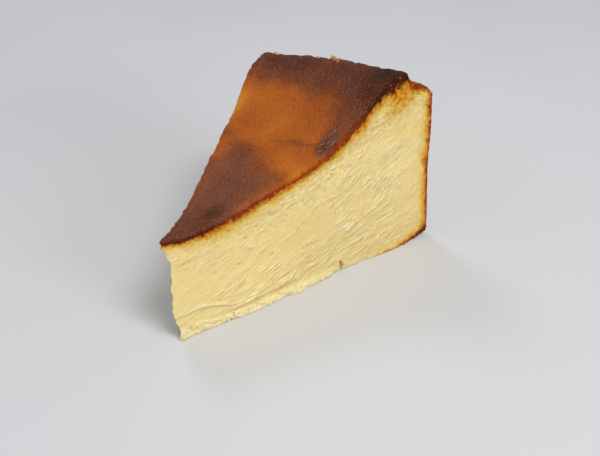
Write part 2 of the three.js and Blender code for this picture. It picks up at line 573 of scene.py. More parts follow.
@dataclass(frozen=True)
class CutFace:
    """The relief of a cut: its bow, drag, smears, whiskers, grains, pores and rolled skin lip."""

    drag_angle: float = math.radians(14.0)
    drag_length: float = 22.0
    drag_width: float = 6.0
    drag_depth: float = 0.4
    crumb_band: float = 7.0
    crumb_size: float = 4.2
    crumb_depth: float = 0.35
    bow_height: float = 26.0
    foot_line: Line = (
        (0.0, 0.4), (10.0, 0.7), (20.0, 1.4), (40.0, 1.6), (50.0, 1.1), (58.0, 0.5),
        (67.0, 0.5), (77.0, 1.0), (88.0, 1.2), (95.0, 0.8), (101.0, 0.3),
    )
    smears: tuple[SmearTongue, ...] = SMEARS
    smear_calm: float = 0.7
    nick_radius: float = 61.0
    nick_width: float = 1.1
    nick_height: float = 4.8
    nick_depth: float = 2.4
    lip_thickness: float = 1.3
    lip_stand: float = 0.4
    whiskers: DragMarks = DragMarks()
    crumble: FootCrumble = FootCrumble()
    pores: Pores = Pores()
    patches: Pattern = Pattern(0.8, (13.0, 8.0), Layer.PATCHES, 2)
    curdled: Pattern = Pattern(0.06, (2.4, 1.3), Layer.CURDLED)
    fine: Pattern = Pattern(0.05, (1.3, 0.9), Layer.FINE)
    ragged: Pattern = Pattern(0.4, (1.7, 1.7), Layer.RAGGED, 2)
    crust: Pattern = Pattern(0.34, (1.3, 1.3), Layer.CRUST, 2)
    teeth: Pattern = Pattern(0.32, (1.1, 1.5), Layer.TEETH, 2)
    whisker_rise: float = 0.25

    def broad(self, radius: Array, height: Array, seed: int) -> Array:
        """Gives the broad relief: the drag, the crumbled band, the foot's bow and the smears.

        Args:
            radius: Radius of each point of the cut.
            height: Height of each point of the cut.
            seed: Which cut it is.

        Returns:
            How far each point stands out of the cut's plane.
        """
        along, over = turned(radius, height, -self.drag_angle)
        drag = self.drag_depth * lumps(along / self.drag_length, over / self.drag_width, seed)
        band = self.crumb_depth * fade(height, 0.0, self.crumb_band)
        crumb = band * lumps(radius / self.crumb_size, height / self.crumb_size, seed + Layer.CRUMB_BAND)
        bow = np.interp(radius, *smooth_curve(self.foot_line).T) * fade(height, 0.0, self.bow_height)
        smears = sum(tongue.rise * tongue.shares(radius, height)[0] for tongue in self.smears)
        return drag + crumb + bow + smears

    def lip(self, below: Array) -> Array:
        """Swells the edge of the skin over the curd that it tops."""
        middle = self.lip_thickness / 2
        return self.lip_stand * np.sqrt(np.clip(1 - ((below - middle) / (middle * 1.3)) ** 2, 0.0, 1.0))

    def nick(self, radius: Array, height: Array) -> Array:
        """Sinks the nick in the foot of the right-hand cut.

        Args:
            radius: Radius of each point of the cut.
            height: Height of each point of the cut.

        Returns:
            How far each point stands back, as a positive depth.
        """
        narrow = np.clip(1 - height / self.nick_height, 0.0, 1.0)
        middle = self.nick_radius + 0.4 * np.sin(height)
        width = self.nick_width * (0.25 + 0.4 * narrow)
        return self.nick_depth * bell(radius, middle, width) * ramp(narrow, 0.0, 0.6)

    def stroked(self, shell: Shell, seed: int) -> Array:
        """Gives where the knife's strokes show: in patches, low on the cut and towards the wall.

        Args:
            shell: The cut's points.
            seed: Which cut it is.

        Returns:
            Share of the strokes at each point.
        """
        radius, height = shell.radius, shell.height
        low = fade(height - 0.12 * radius, 8.0, 15.0)
        zone = np.maximum(np.maximum(low, ramp(radius, 42.0, 58.0)), 0.4)
        zone = zone * mix(1.0, 0.4, ramp(radius, 82.0, 92.0))
        patchy = np.clip(0.75 + self.patches.at(radius, height, seed), 0.2, 1.0)
        return patchy * zone * ramp(shell.inside_wall, 1.0, 6.0)

    def trimmed(self, stand: Array, shell: Shell, seed: int) -> Array:
        """Flattens the left-hand cut under the skin, where its edge is the outline, and gives it teeth.

        Args:
            stand: How far each point stands out.
            shell: The cut's points.
            seed: Which cut it is.

        Returns:
            How far each point stands out after that.
        """
        radius, below = shell.radius, shell.under_skin
        trim = 1.45 * ramp(radius, 72.0, 78.0) - 0.5 * bell(radius, 64.0, 7.0)
        teeth = self.teeth.at(radius, below, seed) * fade(below, 0.8, 3.0)
        return stand * mix(0.35, 1.0, ramp(below, 0.5, 5.0)) - trim * fade(below, 1.0, 8.0) + teeth

    def relief(self, shell: Shell, seed: int) -> dict[str, Array]:
        """Works out the whole relief of one cut.

        Args:
            shell: The cut's points.
            seed: Which cut it is.

        Returns:
            How far each point stands out, and the masks that its colours need.
        """
        radius, height, below = shell.radius, shell.height, shell.under_skin
        bodies, lips, hollows = zip(*(tongue.shares(radius, height) for tongue in self.smears))
        calm = 1 - self.smear_calm * bodies[0]
        off_foot = ramp(height, 1.0, 5.0)
        stroked = self.stroked(shell, seed) * calm
        show = mix(0.5, 1.0, stroked) * calm * off_foot * ramp(below, 1.0, 3.5)
        whiskers, shades = (part * show for part in self.whiskers.relief(radius, height, seed))
        grains, crumble = self.crumble.relief(radius, height, seed)
        holes = self.pores.relief(radius, below, seed) * ramp(below, 1.2, 2.4)
        fine = self.fine.at(radius, height, seed) * calm
        crust_reach = mix(2.0, 5.0, ramp(radius, 50.0, 80.0))
        stand = (
            self.broad(radius, height, seed) + whiskers + grains - holes + fine
            + self.ragged.at(radius, height, seed) * fade(height, 0.6, 3.5)
            + self.lip(below) * ramp(shell.inside_wall, 0.5, 4.0)
            + self.crust.at(radius, below, seed) * fade(below, 1.0, crust_reach)
            + self.curdled.at(radius, below, seed) * ramp(below, 1.5, 3.0) * fade(below, 8.0, 18.0)
        )
        if seed == Seed.LEFT:
            stand = self.trimmed(stand, shell, seed)
        nick = self.nick(radius, height) if seed == Seed.RIGHT else np.zeros_like(radius)
        # Painted shade: darker in the pores, in the hollows under the smear lips, under the whiskers and in
        # the nick
        shaded = holes / self.pores.depth + sum(hollows) + 3.0 * shades + nick / self.nick_depth
        # Painted highlight: paler on the whisker crests, the fine relief's tops and the smear lips, kept as
        # the ridge mask
        lit = whiskers / self.whisker_rise + 0.25 * fine / self.fine.height + sum(lips)
        off_smear = np.maximum(ramp(height, 7.5, 9.5), ramp(radius, 14.0, 22.0))
        under_lip = ramp(below, 1.5, 3.5) * fade(below, 7.0, 16.0)
        return {
            "stand": stand - nick,
            "crumble": crumble,
            "painted_recess_shade": np.clip(shaded, 0.0, 1.0),
            "ridge": np.clip(lit, 0.0, 1.0),
            "drag": stroked * off_foot * mix(0.15, 1.0, off_smear),
            "curdle": (under_lip + 0.25) * mix(0.4, 1.0, ramp(radius, 22.0, 45.0)),
        }


@dataclass(frozen=True)
class SkinSpot:
    """A soft spot on the skin: its radius and angle, its reach out and to its sides, and its strength."""

    radius: float
    angle: float
    reach: float
    spread: float
    strength: float

    def share(self, radius: Array, angle: Array) -> Array:
        """Gives the spot's strength at each radius and angle, which falls away from its middle."""
        side = (angle - math.radians(self.angle)) * self.radius
        return self.strength * bell(radius, self.radius, self.reach) * bell(side, 0.0, self.spread)


def spots(*rows: tuple[float, ...]) -> tuple[SkinSpot, ...]:
    """Makes spots from rows of radius, angle in degrees, reach, spread and strength."""
    return tuple(SkinSpot(*row) for row in rows)


def spotted(places: tuple[SkinSpot, ...], radius: Array, angle: Array) -> Array:
    """Adds up the strengths of spots at each point of the skin."""
    return sum(spot.share(radius, angle) for spot in places)


@dataclass(frozen=True)
class SkinMap:
    """How the skin scorched, and where it is wet and wrinkled."""

    half: float = math.radians(18.8)
    amber: float = 0.28
    rim_dark: float = 0.42
    rim_from: Span = (65.0, 80.0)
    rim_drift: float = 3.0
    edge_dark: float = 0.04
    edge_reach: float = 4.0
    tip_dark: float = 0.30
    tip_edge: float = 43.5
    tip_edge_turn: float = 9.0
    tip_edge_drift: float = 2.5
    tip_edge_soft: float = 5.5
    crease_radius: float = 50.7
    crease_slant: float = -0.34
    crease_width: float = 1.0
    crease_dark: float = 0.09
    drift: Pattern = Pattern(1.0, (11.0, 11.0), Seed.DRIFT)
    drift_dark: float = 0.05
    blotch: Pattern = Pattern(0.07, (4.6, 6.4), Seed.BLOTCH)
    scorched_spots: tuple[SkinSpot, ...] = spots(
        (70.0, -15.0, 9.0, 7.8, 0.22), (83.0, -16.0, 5.0, 8.0, 0.22), (77.0, 13.0, 6.0, 8.0, 0.13),
        (69.5, 16.0, 4.0, 6.0, 0.18), (55.0, 14.0, 6.0, 6.0, 0.12), (48.5, 18.5, 4.0, 3.0, 0.05),
        (72.0, 4.0, 5.0, 12.0, 0.12), (49.4, -13.3, 3.0, 3.0, 0.11), (41.0, -16.0, 3.5, 3.0, 0.20),
        (28.0, 3.0, 5.0, 4.0, 0.05), (60.5, -15.2, 3.4, 2.2, 0.23), (56.3, -15.6, 2.8, 2.2, 0.40),
        (19.5, -7.5, 4.0, 3.0, 0.27), (10.0, -3.0, 9.0, 5.0, 0.14), (69.0, -18.5, 7.0, 3.5, 0.12),
        (53.6, -8.4, 3.5, 4.0, 0.05),
    )
    pale_spots: tuple[SkinSpot, ...] = spots(
        (59.0, 20.0, 8.0, 3.5, -0.36), (41.0, 18.5, 5.0, 4.0, -0.24), (46.0, -10.0, 6.0, 6.0, -0.06),
        (36.8, -5.4, 4.0, 4.0, -0.11), (35.0, -17.0, 7.0, 2.4, -0.17), (25.0, 18.0, 12.0, 2.5, -0.13),
        (75.0, 18.5, 5.0, 4.0, -0.16), (26.5, -16.5, 3.5, 2.4, -0.11), (43.5, -18.0, 3.0, 1.8, -0.18),
        (23.0, -18.5, 6.0, 2.0, -0.08), (52.0, 5.0, 5.0, 4.0, -0.05),
    )
    wet_spots: tuple[SkinSpot, ...] = spots((61.5, -15.8, 3.6, 2.6, 1.0), (57.0, -16.5, 2.6, 2.6, 0.8))

    def scorch(self, shell: Shell) -> Array:
        """Gives how dark the skin is, from 0 for gold to 1 for black.

        Args:
            shell: The points.

        Returns:
            The scorch at each point.
        """
        radius, angle = shell.radius, shell.angle
        drift = self.drift.at(*shell.flat)
        edge = self.tip_edge + self.tip_edge_turn * angle + self.tip_edge_drift * drift
        tip = self.tip_dark * fade(radius, edge - self.tip_edge_soft, edge + self.tip_edge_soft)
        rim = self.rim_dark * ramp(radius + self.rim_drift * drift, *self.rim_from)
        places = spotted(self.scorched_spots + self.pale_spots, radius, angle)
        to_edge = radius * np.sin(np.clip(self.half - np.abs(angle), 0.0, 1.0))
        beside = self.edge_dark * np.exp(-to_edge / self.edge_reach) * (1 - 0.8 * bell(radius, 49.0, 7.0))
        crease = self.crease_dark * self.crease(radius, angle)
        clouds = self.drift_dark * drift + self.blotch.at(*shell.flat)
        return np.clip(self.amber + tip + rim + places + beside + crease + clouds, 0.0, 1.0)

    def crease(self, radius: Array, angle: Array) -> Array:
        """Gives the faint crease that runs across the middle of the skin to the wet part.

        Args:
            radius: Radius from the tip.
            angle: Angle from the centre line, in radians.

        Returns:
            Share of the crease at each point.
        """
        turn = np.degrees(angle)
        along = fade(turn, -8.0, 12.0) * ramp(turn, -17.0, -14.0)
        return along * bell(radius, self.crease_radius + self.crease_slant * turn, self.crease_width)

    def wet(self, radius: Array, angle: Array) -> Array:
        """Gives how wet and wrinkled the skin is, from 0 to 1."""
        return np.clip(spotted(self.wet_spots, radius, angle), 0.0, 1.0)

    def sheen(self, radius: Array, angle: Array) -> Array:
        """Gives how glossy the skin is, from 0 to 1."""
        zones = 0.08 + 0.22 * fade(radius, 34.0, 48.0) + 0.10 * ramp(radius, 68.0, 82.0)
        return np.clip(zones + 0.25 * self.wet(radius, angle), 0.0, 1.0)


class Nodes:
    """Adds nodes to a tree and links them."""

    def __init__(self, tree: Tree) -> None:
        """Keeps the tree that nodes are added to."""
        self.tree = tree

    def feed(self, socket: Socket, value: object) -> None:
        """Links another socket to a socket, or sets its value, a plain colour with full alpha."""
        if isinstance(value, Socket):
            self.tree.links.new(value, socket)
        else:
            socket.default_value = (*value, 1.0) if socket.type == "RGBA" else value

    def set(self, node: Node, **inputs: object) -> None:
        """Feeds a node's inputs by their names, with underscores for spaces."""
        for name, value in inputs.items():
            self.feed(node.inputs[name.replace("_", " ")], value)

    def add(self, kind: str, settings: dict | None = None, **inputs: object) -> Node:
        """Adds a node, sets it up and feeds its inputs by name.

        Args:
            kind: The node's type.
            settings: Attributes of the node to set.
            **inputs: Input sockets by name, with underscores for spaces: a value, or a socket to link.

        Returns:
            The new node.
        """
        node = self.tree.nodes.new(kind)
        for name, value in (settings or {}).items():
            setattr(node, name, value)
        self.set(node, **inputs)
        return node

    def ordered(self, kind: str, settings: dict, *inputs: object) -> Node:
        """Adds a node, sets it up and feeds its inputs in their order.

        Args:
            kind: The node's type.
            settings: Attributes of the node to set.
            *inputs: A value or a socket for each input from the first, or None to pass it over.

        Returns:
            The new node.
        """
        node = self.add(kind, settings)
        for socket, value in zip(node.inputs, inputs):
            if value is not None:
                self.feed(socket, value)
        return node

    def math(self, operation: str, a: object, b: object = 0.0, clamp: bool = False) -> Socket:
        """Adds a Math node and gives its result."""
        return self.ordered("ShaderNodeMath", {"operation": operation, "use_clamp": clamp}, a, b).outputs[0]

    def times(self, a: object, b: object, clamp: bool = False) -> Socket:
        """Multiplies two values."""
        return self.math("MULTIPLY", a, b, clamp)

    def plus(self, a: object, b: object) -> Socket:
        """Adds two values."""
        return self.math("ADD", a, b)

    def weigh(self, *terms: tuple[object, object]) -> Socket:
        """Adds several values, each multiplied by its weight."""
        return reduce(self.plus, (self.times(value, weight) for value, weight in terms))

    def vector(self, operation: str, *inputs: object) -> Socket:
        """Adds a Vector Math node and gives its result."""
        return self.ordered("ShaderNodeVectorMath", {"operation": operation}, *inputs).outputs["Vector"]

    def blend(self, share: object, a: object, b: object, how: str = "MIX") -> Socket:
        """Adds a colour Mix node, whose colours are its seventh and eighth inputs, and gives its result."""
        inputs = (share, *(None,) * 5, a, b)
        return self.ordered("ShaderNodeMix", {"data_type": "RGBA", "blend_type": how}, *inputs).outputs[2]

    def tint(self, share: object, colour: Socket, by: Triple) -> Socket:
        """Multiplies a colour by another, by a share."""
        return self.blend(share, colour, by, "MULTIPLY")

    def span(self, value: Socket, low: float, high: float, start: float = 0.0, end: float = 1.0) -> Socket:
        """Adds a smooth Map Range node, which goes from start at low to end at high."""
        smooth = {"interpolation_type": "SMOOTHSTEP"}
        return self.ordered("ShaderNodeMapRange", smooth, value, low, high, start, end).outputs[0]

    def ramp(self, value: object, stops: Stops) -> Socket:
        """Adds a Color Ramp node.

        Args:
            value: The socket that drives it.
            stops: Place and linear colour of each stop.

        Returns:
            The colour socket.
        """
        node = self.ordered("ShaderNodeValToRGB", {}, value)
        elements = node.color_ramp.elements
        while len(elements) < len(stops):
            elements.new(1.0)
        for element, (place, colour) in zip(elements, stops):
            element.position, element.color = place, (*colour, 1.0)
        return node.outputs[0]

    def noise(
        self, place: Socket, scale: object, detail: object, roughness: float = 0.5, ways: str = "3D"
    ) -> Items:
        """Adds a Noise node of two or three dimensions and gives its outputs."""
        inputs = {"Vector": place, "Scale": scale, "Detail": detail, "Roughness": roughness}
        return self.add("ShaderNodeTexNoise", {"noise_dimensions": ways}, **inputs).outputs

    def attribute(self, name: str, output: str = "Fac") -> Socket:
        """Reads one of the piece's own attributes."""
        return self.add("ShaderNodeAttribute", {"attribute_name": name}).outputs[output]

    def place(self) -> Socket:
        """Reads the place on the piece."""
        return self.add("ShaderNodeTexCoord").outputs["Object"]

    def bump(self, distance: float, strength: float, height: Socket) -> Socket:
        """Adds a Bump node, with its distance in metres, and gives the bumped normal."""
        inputs = {"Strength": strength, "Distance": distance, "Height": height}
        return self.add("ShaderNodeBump", **inputs).outputs["Normal"]


def new_group(name: str, inputs: dict[str, str], outputs: tuple[str, ...]) -> tuple[Nodes, Items, Items]:
    """Starts a shader node group with named sockets.

    Args:
        name: The group's name.
        inputs: Sockets that go in and their kinds, such as Float.
        outputs: Numbers that come out.

    Returns:
        A helper for the group's tree, the sockets to read in it and the sockets to feed in it.
    """
    tree = bpy.data.node_groups.new(name, "ShaderNodeTree")
    for socket, kind in inputs.items():
        tree.interface.new_socket(socket, in_out="INPUT", socket_type=f"NodeSocket{kind}")
    for socket in outputs:
        tree.interface.new_socket(socket, in_out="OUTPUT", socket_type="NodeSocketFloat")
    nodes = Nodes(tree)
    return nodes, nodes.add("NodeGroupInput").outputs, nodes.add("NodeGroupOutput").inputs


class Effects:
    """Shader node groups that several finishes share."""

    def __init__(self) -> None:
        """Builds each group once."""
        self.mottle_tree = self.make_mottle()
        self.pebble_tree = self.make_pebble()
        self.stroke_tree = self.make_strokes()

    def mottle(self, nodes: Nodes, scale: float, detail: float) -> Socket:
        """Adds cloudy blotches from -1 to 1 to a tree."""
        settings = {"node_tree": self.mottle_tree}
        return nodes.add("ShaderNodeGroup", settings, Scale=scale, Detail=detail).outputs["Value"]

    def pebble(self, nodes: Nodes, scale: float, dot_scale: float) -> tuple[Socket, Socket]:
        """Adds a fine pebbling to a tree, its height and its pinprick dots."""
        settings = {"node_tree": self.pebble_tree}
        group = nodes.add("ShaderNodeGroup", settings, Scale=scale, Dot_Scale=dot_scale)
        return group.outputs["Height"], group.outputs["Dots"]

    def strokes(self, nodes: Nodes, place: Socket, turn: float, cells: Triple) -> Items:
        """Adds torn strokes to a tree, with a crest, a shade and a fibre by name."""
        settings = {"node_tree": self.stroke_tree}
        return nodes.add("ShaderNodeGroup", settings, Place=place, Turn=turn, Cells=cells).outputs

    @staticmethod
    def make_mottle() -> Tree:
        """Makes a cloudy blotching of two sizes, from -1 to 1."""
        nodes, enter, leave = new_group("baked_mottle", {"Scale": "Float", "Detail": "Float"}, ("Value",))
        noise = nodes.noise(nodes.place(), enter["Scale"], enter["Detail"], 0.6)
        nodes.feed(leave["Value"], nodes.span(noise["Fac"], 0.25, 0.75, -1.0, 1.0))
        return nodes.tree

    @staticmethod
    def make_pebble() -> Tree:
        """Makes a fine pebbled height with pinprick dots, for bump and colour."""
        scales = {"Scale": "Float", "Dot Scale": "Float"}
        nodes, enter, leave = new_group("fine_pebble", scales, ("Height", "Dots"))
        place = nodes.place()
        pebble = nodes.noise(place, enter["Scale"], 3.0, 0.55)
        cells = nodes.add("ShaderNodeTexVoronoi", {"feature": "F1"}, Vector=place, Scale=enter["Dot Scale"])
        nodes.feed(leave["Height"], pebble["Fac"])
        nodes.feed(leave["Dots"], nodes.span(cells.outputs["Distance"], 0.12, 0.3, 1.0, 0.0))
        return nodes.tree

    @staticmethod
    def make_strokes() -> Tree:
        """Makes torn strokes along a slant, one to a stretched cell, each a crest with a shade under it."""
        sockets = {"Place": "Vector", "Turn": "Float", "Cells": "Vector"}
        nodes, enter, leave = new_group("torn_strokes", sockets, ("Crest", "Shade", "Fibre"))
        drift = nodes.noise(enter["Place"], 0.09, 1.0, 0.4)
        sway = nodes.vector("MULTIPLY_ADD", drift["Color"], (4.0, 4.0, 0.0), enter["Place"])
        back = nodes.times(enter["Turn"], -1.0)
        along = nodes.add("ShaderNodeVectorRotate", {"rotation_type": "Z_AXIS"}, Vector=sway, Angle=back)
        scaled = nodes.vector("MULTIPLY", along.outputs["Vector"], enter["Cells"])
        flat = {"feature": "F1", "voronoi_dimensions": "2D"}
        cells = nodes.add("ShaderNodeTexVoronoi", flat, Vector=scaled, Scale=1.0).outputs
        away = nodes.vector("SUBTRACT", scaled, cells["Position"])
        parts = nodes.add("ShaderNodeSeparateXYZ", Vector=away).outputs
        draw = nodes.add("ShaderNodeSeparateColor", Color=cells["Color"]).outputs
        curve = nodes.times(nodes.times(parts["X"], parts["X"]), 1.4)
        arch = nodes.times(curve, nodes.plus(draw["Green"], -0.5))
        fibre = nodes.noise(scaled, 2.6, 2.0, 0.6, "2D")["Fac"]
        nodes.feed(leave["Fibre"], nodes.span(fibre, 0.3, 0.7, -1.0, 1.0))
        torn = nodes.times(nodes.plus(fibre, -0.5), 0.7)
        over = nodes.plus(nodes.plus(parts["Y"], arch), torn)
        width = nodes.plus(nodes.times(draw["Blue"], 0.9), 0.55)
        ends = nodes.span(nodes.math("ABSOLUTE", parts["X"]), 0.1, 0.5, 1.0, 0.0)
        ends = nodes.times(ends, nodes.span(draw["Red"], 0.3, 0.85))
        for name, middle, reach in (("Crest", 0.1, 0.27), ("Shade", -0.24, 0.32)):
            gap = nodes.math("ABSOLUTE", nodes.plus(nodes.math("DIVIDE", over, width), -middle))
            nodes.feed(leave[name], nodes.times(ends, nodes.span(gap, 0.02, reach, 1.0, 0.0)))
        return nodes.tree


def new_material(name: str) -> tuple[bpy.types.Material, Nodes, Node]:
    """Starts a material with a Principled shader.

    Args:
        name: The material's name.

    Returns:
        The material, a helper for its tree, and the shader node.
    """
    material = bpy.data.materials.new(name)
    material.use_nodes = True
    tree = material.node_tree
    shader = next(node for node in tree.nodes if node.type == "BSDF_PRINCIPLED")
    return material, Nodes(tree), shader


class Finish:
    """What every finish has: a name, a way to paint its shader, and the material that comes of them."""

    name: str

    def paint(self, nodes: Nodes, shader: Node, effects: Effects) -> None:
        """Feeds the shader. Each finish has its own way."""
        raise NotImplementedError

    def material(self, effects: Effects) -> bpy.types.Material:
        """Makes the material.

        Args:
            effects: The shared node groups.

        Returns:
            The finished material.
        """
        material, nodes, shader = new_material(self.name)
        self.paint(nodes, shader, effects)
        return material


@dataclass(frozen=True)
class SkinFinish(Finish):
    """The scorched skin: satin and pebbled, from gold through amber to nearly black."""

    name: str = "scorched_skin"
    stops: Stops = (
        (0.0, (0.720, 0.300, 0.024)),
        (0.2, (0.570, 0.165, 0.014)),
        (0.36, (0.455, 0.110, 0.014)),
        (0.50, (0.262, 0.071, 0.021)),
        (0.62, (0.198, 0.064, 0.032)),
        (0.78, (0.140, 0.038, 0.017)),
        (1.0, (0.050, 0.016, 0.009)),
    )
    broad_mottle: Span = (110.0, 5.0)
    fine_mottle: Span = (700.0, 3.0)
    fold_mottle: Span = (520.0, 3.0)
    pebbles: Span = (1900.0, 900.0)
    # The pebbling's low spots take painted shade and its high spots a painted highlight; the creases are
    # tinted darker, partly their own darker red and partly painted shade
    painted_pebble_shade: Triple = (0.72, 0.64, 0.58)
    painted_pebble_highlight: Triple = (0.80, 0.40, 0.24)
    crease: Triple = (0.55, 0.38, 0.34)
    glint: Triple = (0.80, 0.45, 0.32)
    lip: Triple = (0.80, 0.42, 0.12)
    streak_turn: float = -0.42
    streak_cells: Triple = (0.42, 1.5, 1.0)
    streak_shade: Triple = (0.25, 0.18, 0.16)
    gleam: Triple = (0.44, 0.30, 0.24)
    roughness: Span = (0.30, 0.50)
    wet_smooth: float = 0.3
    specular: float = 0.05
    coat_roughness: float = 0.26
    bump: float = 0.0009

    def paint(self, nodes: Nodes, shader: Node, effects: Effects) -> None:
        """Feeds the shader.

        Args:
            nodes: The helper for the material's tree.
            shader: The Principled shader.
            effects: The shared node groups.
        """
        broad, fine = effects.mottle(nodes, *self.broad_mottle), effects.mottle(nodes, *self.fine_mottle)
        pebble, dots = effects.pebble(nodes, *self.pebbles)
        baked, wet, gleam = (nodes.attribute(name) for name in ("scorch", "wet", "gleam"))
        fleck = nodes.span(nodes.attribute("crag"), 0.0, 1.0, 0.02, 0.2)
        colour = nodes.ramp(nodes.weigh((baked, 1.0), (broad, 0.035), (fine, fleck)), self.stops)
        leathery = nodes.times(nodes.span(baked, 0.25, 0.6, 0.35, 1.0), nodes.span(wet, 0.15, 0.30, 1.0, 0.5))
        # Painted shade in the pebbling's low spots and painted highlight on its high spots, which the bump
        # also sinks and raises
        pits = nodes.times(nodes.span(pebble, 0.30, 0.52, 1.0, 0.0), leathery)
        colour = nodes.tint(pits, colour, self.painted_pebble_shade)
        colour = nodes.blend(nodes.span(pebble, 0.52, 0.72, 0.0, 0.13), colour, self.painted_pebble_highlight)
        # Creases tinted darker where the bump sinks them: partly the leather's own darker red, partly painted
        # shade
        folds = nodes.math("ABSOLUTE", effects.mottle(nodes, *self.fold_mottle))
        creases = nodes.times(nodes.span(folds, 0.0, 0.30, 1.0, 0.0), nodes.attribute("leather"))
        colour = nodes.tint(nodes.times(creases, 0.45), colour, self.crease)
        edge = nodes.weigh((nodes.attribute("edge"), 1.0), (fine, 0.4))
        glints = nodes.times(dots, nodes.span(edge, 0.2, 1.3, 0.22, 0.0))
        colour = nodes.blend(glints, colour, self.glint)
        colour = nodes.tint(nodes.span(edge, 0.2, 0.8, 1.0, 0.0), colour, self.lip)
        place = nodes.vector("MULTIPLY", nodes.place(), (1 / MM, 1 / MM, 1 / MM))
        streak = effects.strokes(nodes, place, self.streak_turn, self.streak_cells)
        colour = nodes.tint(nodes.times(gleam, streak["Shade"], clamp=True), colour, self.streak_shade)
        colour = nodes.blend(nodes.times(gleam, streak["Crest"], clamp=True), colour, self.gleam)
        dull = nodes.weigh((nodes.span(fine, -1.0, 1.0, *self.roughness), 1.0), (wet, -self.wet_smooth))
        nodes.set(shader, Base_Color=colour, Roughness=dull, Specular_IOR_Level=self.specular)
        nodes.set(shader, Coat_Weight=wet, Coat_Roughness=self.coat_roughness)
        rim = nodes.span(baked, 0.5, 0.75, 0.0, 0.14)
        height = nodes.weigh((pebble, 1.0), (fine, rim), (creases, -0.18))
        bumped = nodes.bump(self.bump, 1.0, height)
        nodes.set(shader, Normal=bumped, Coat_Normal=bumped)


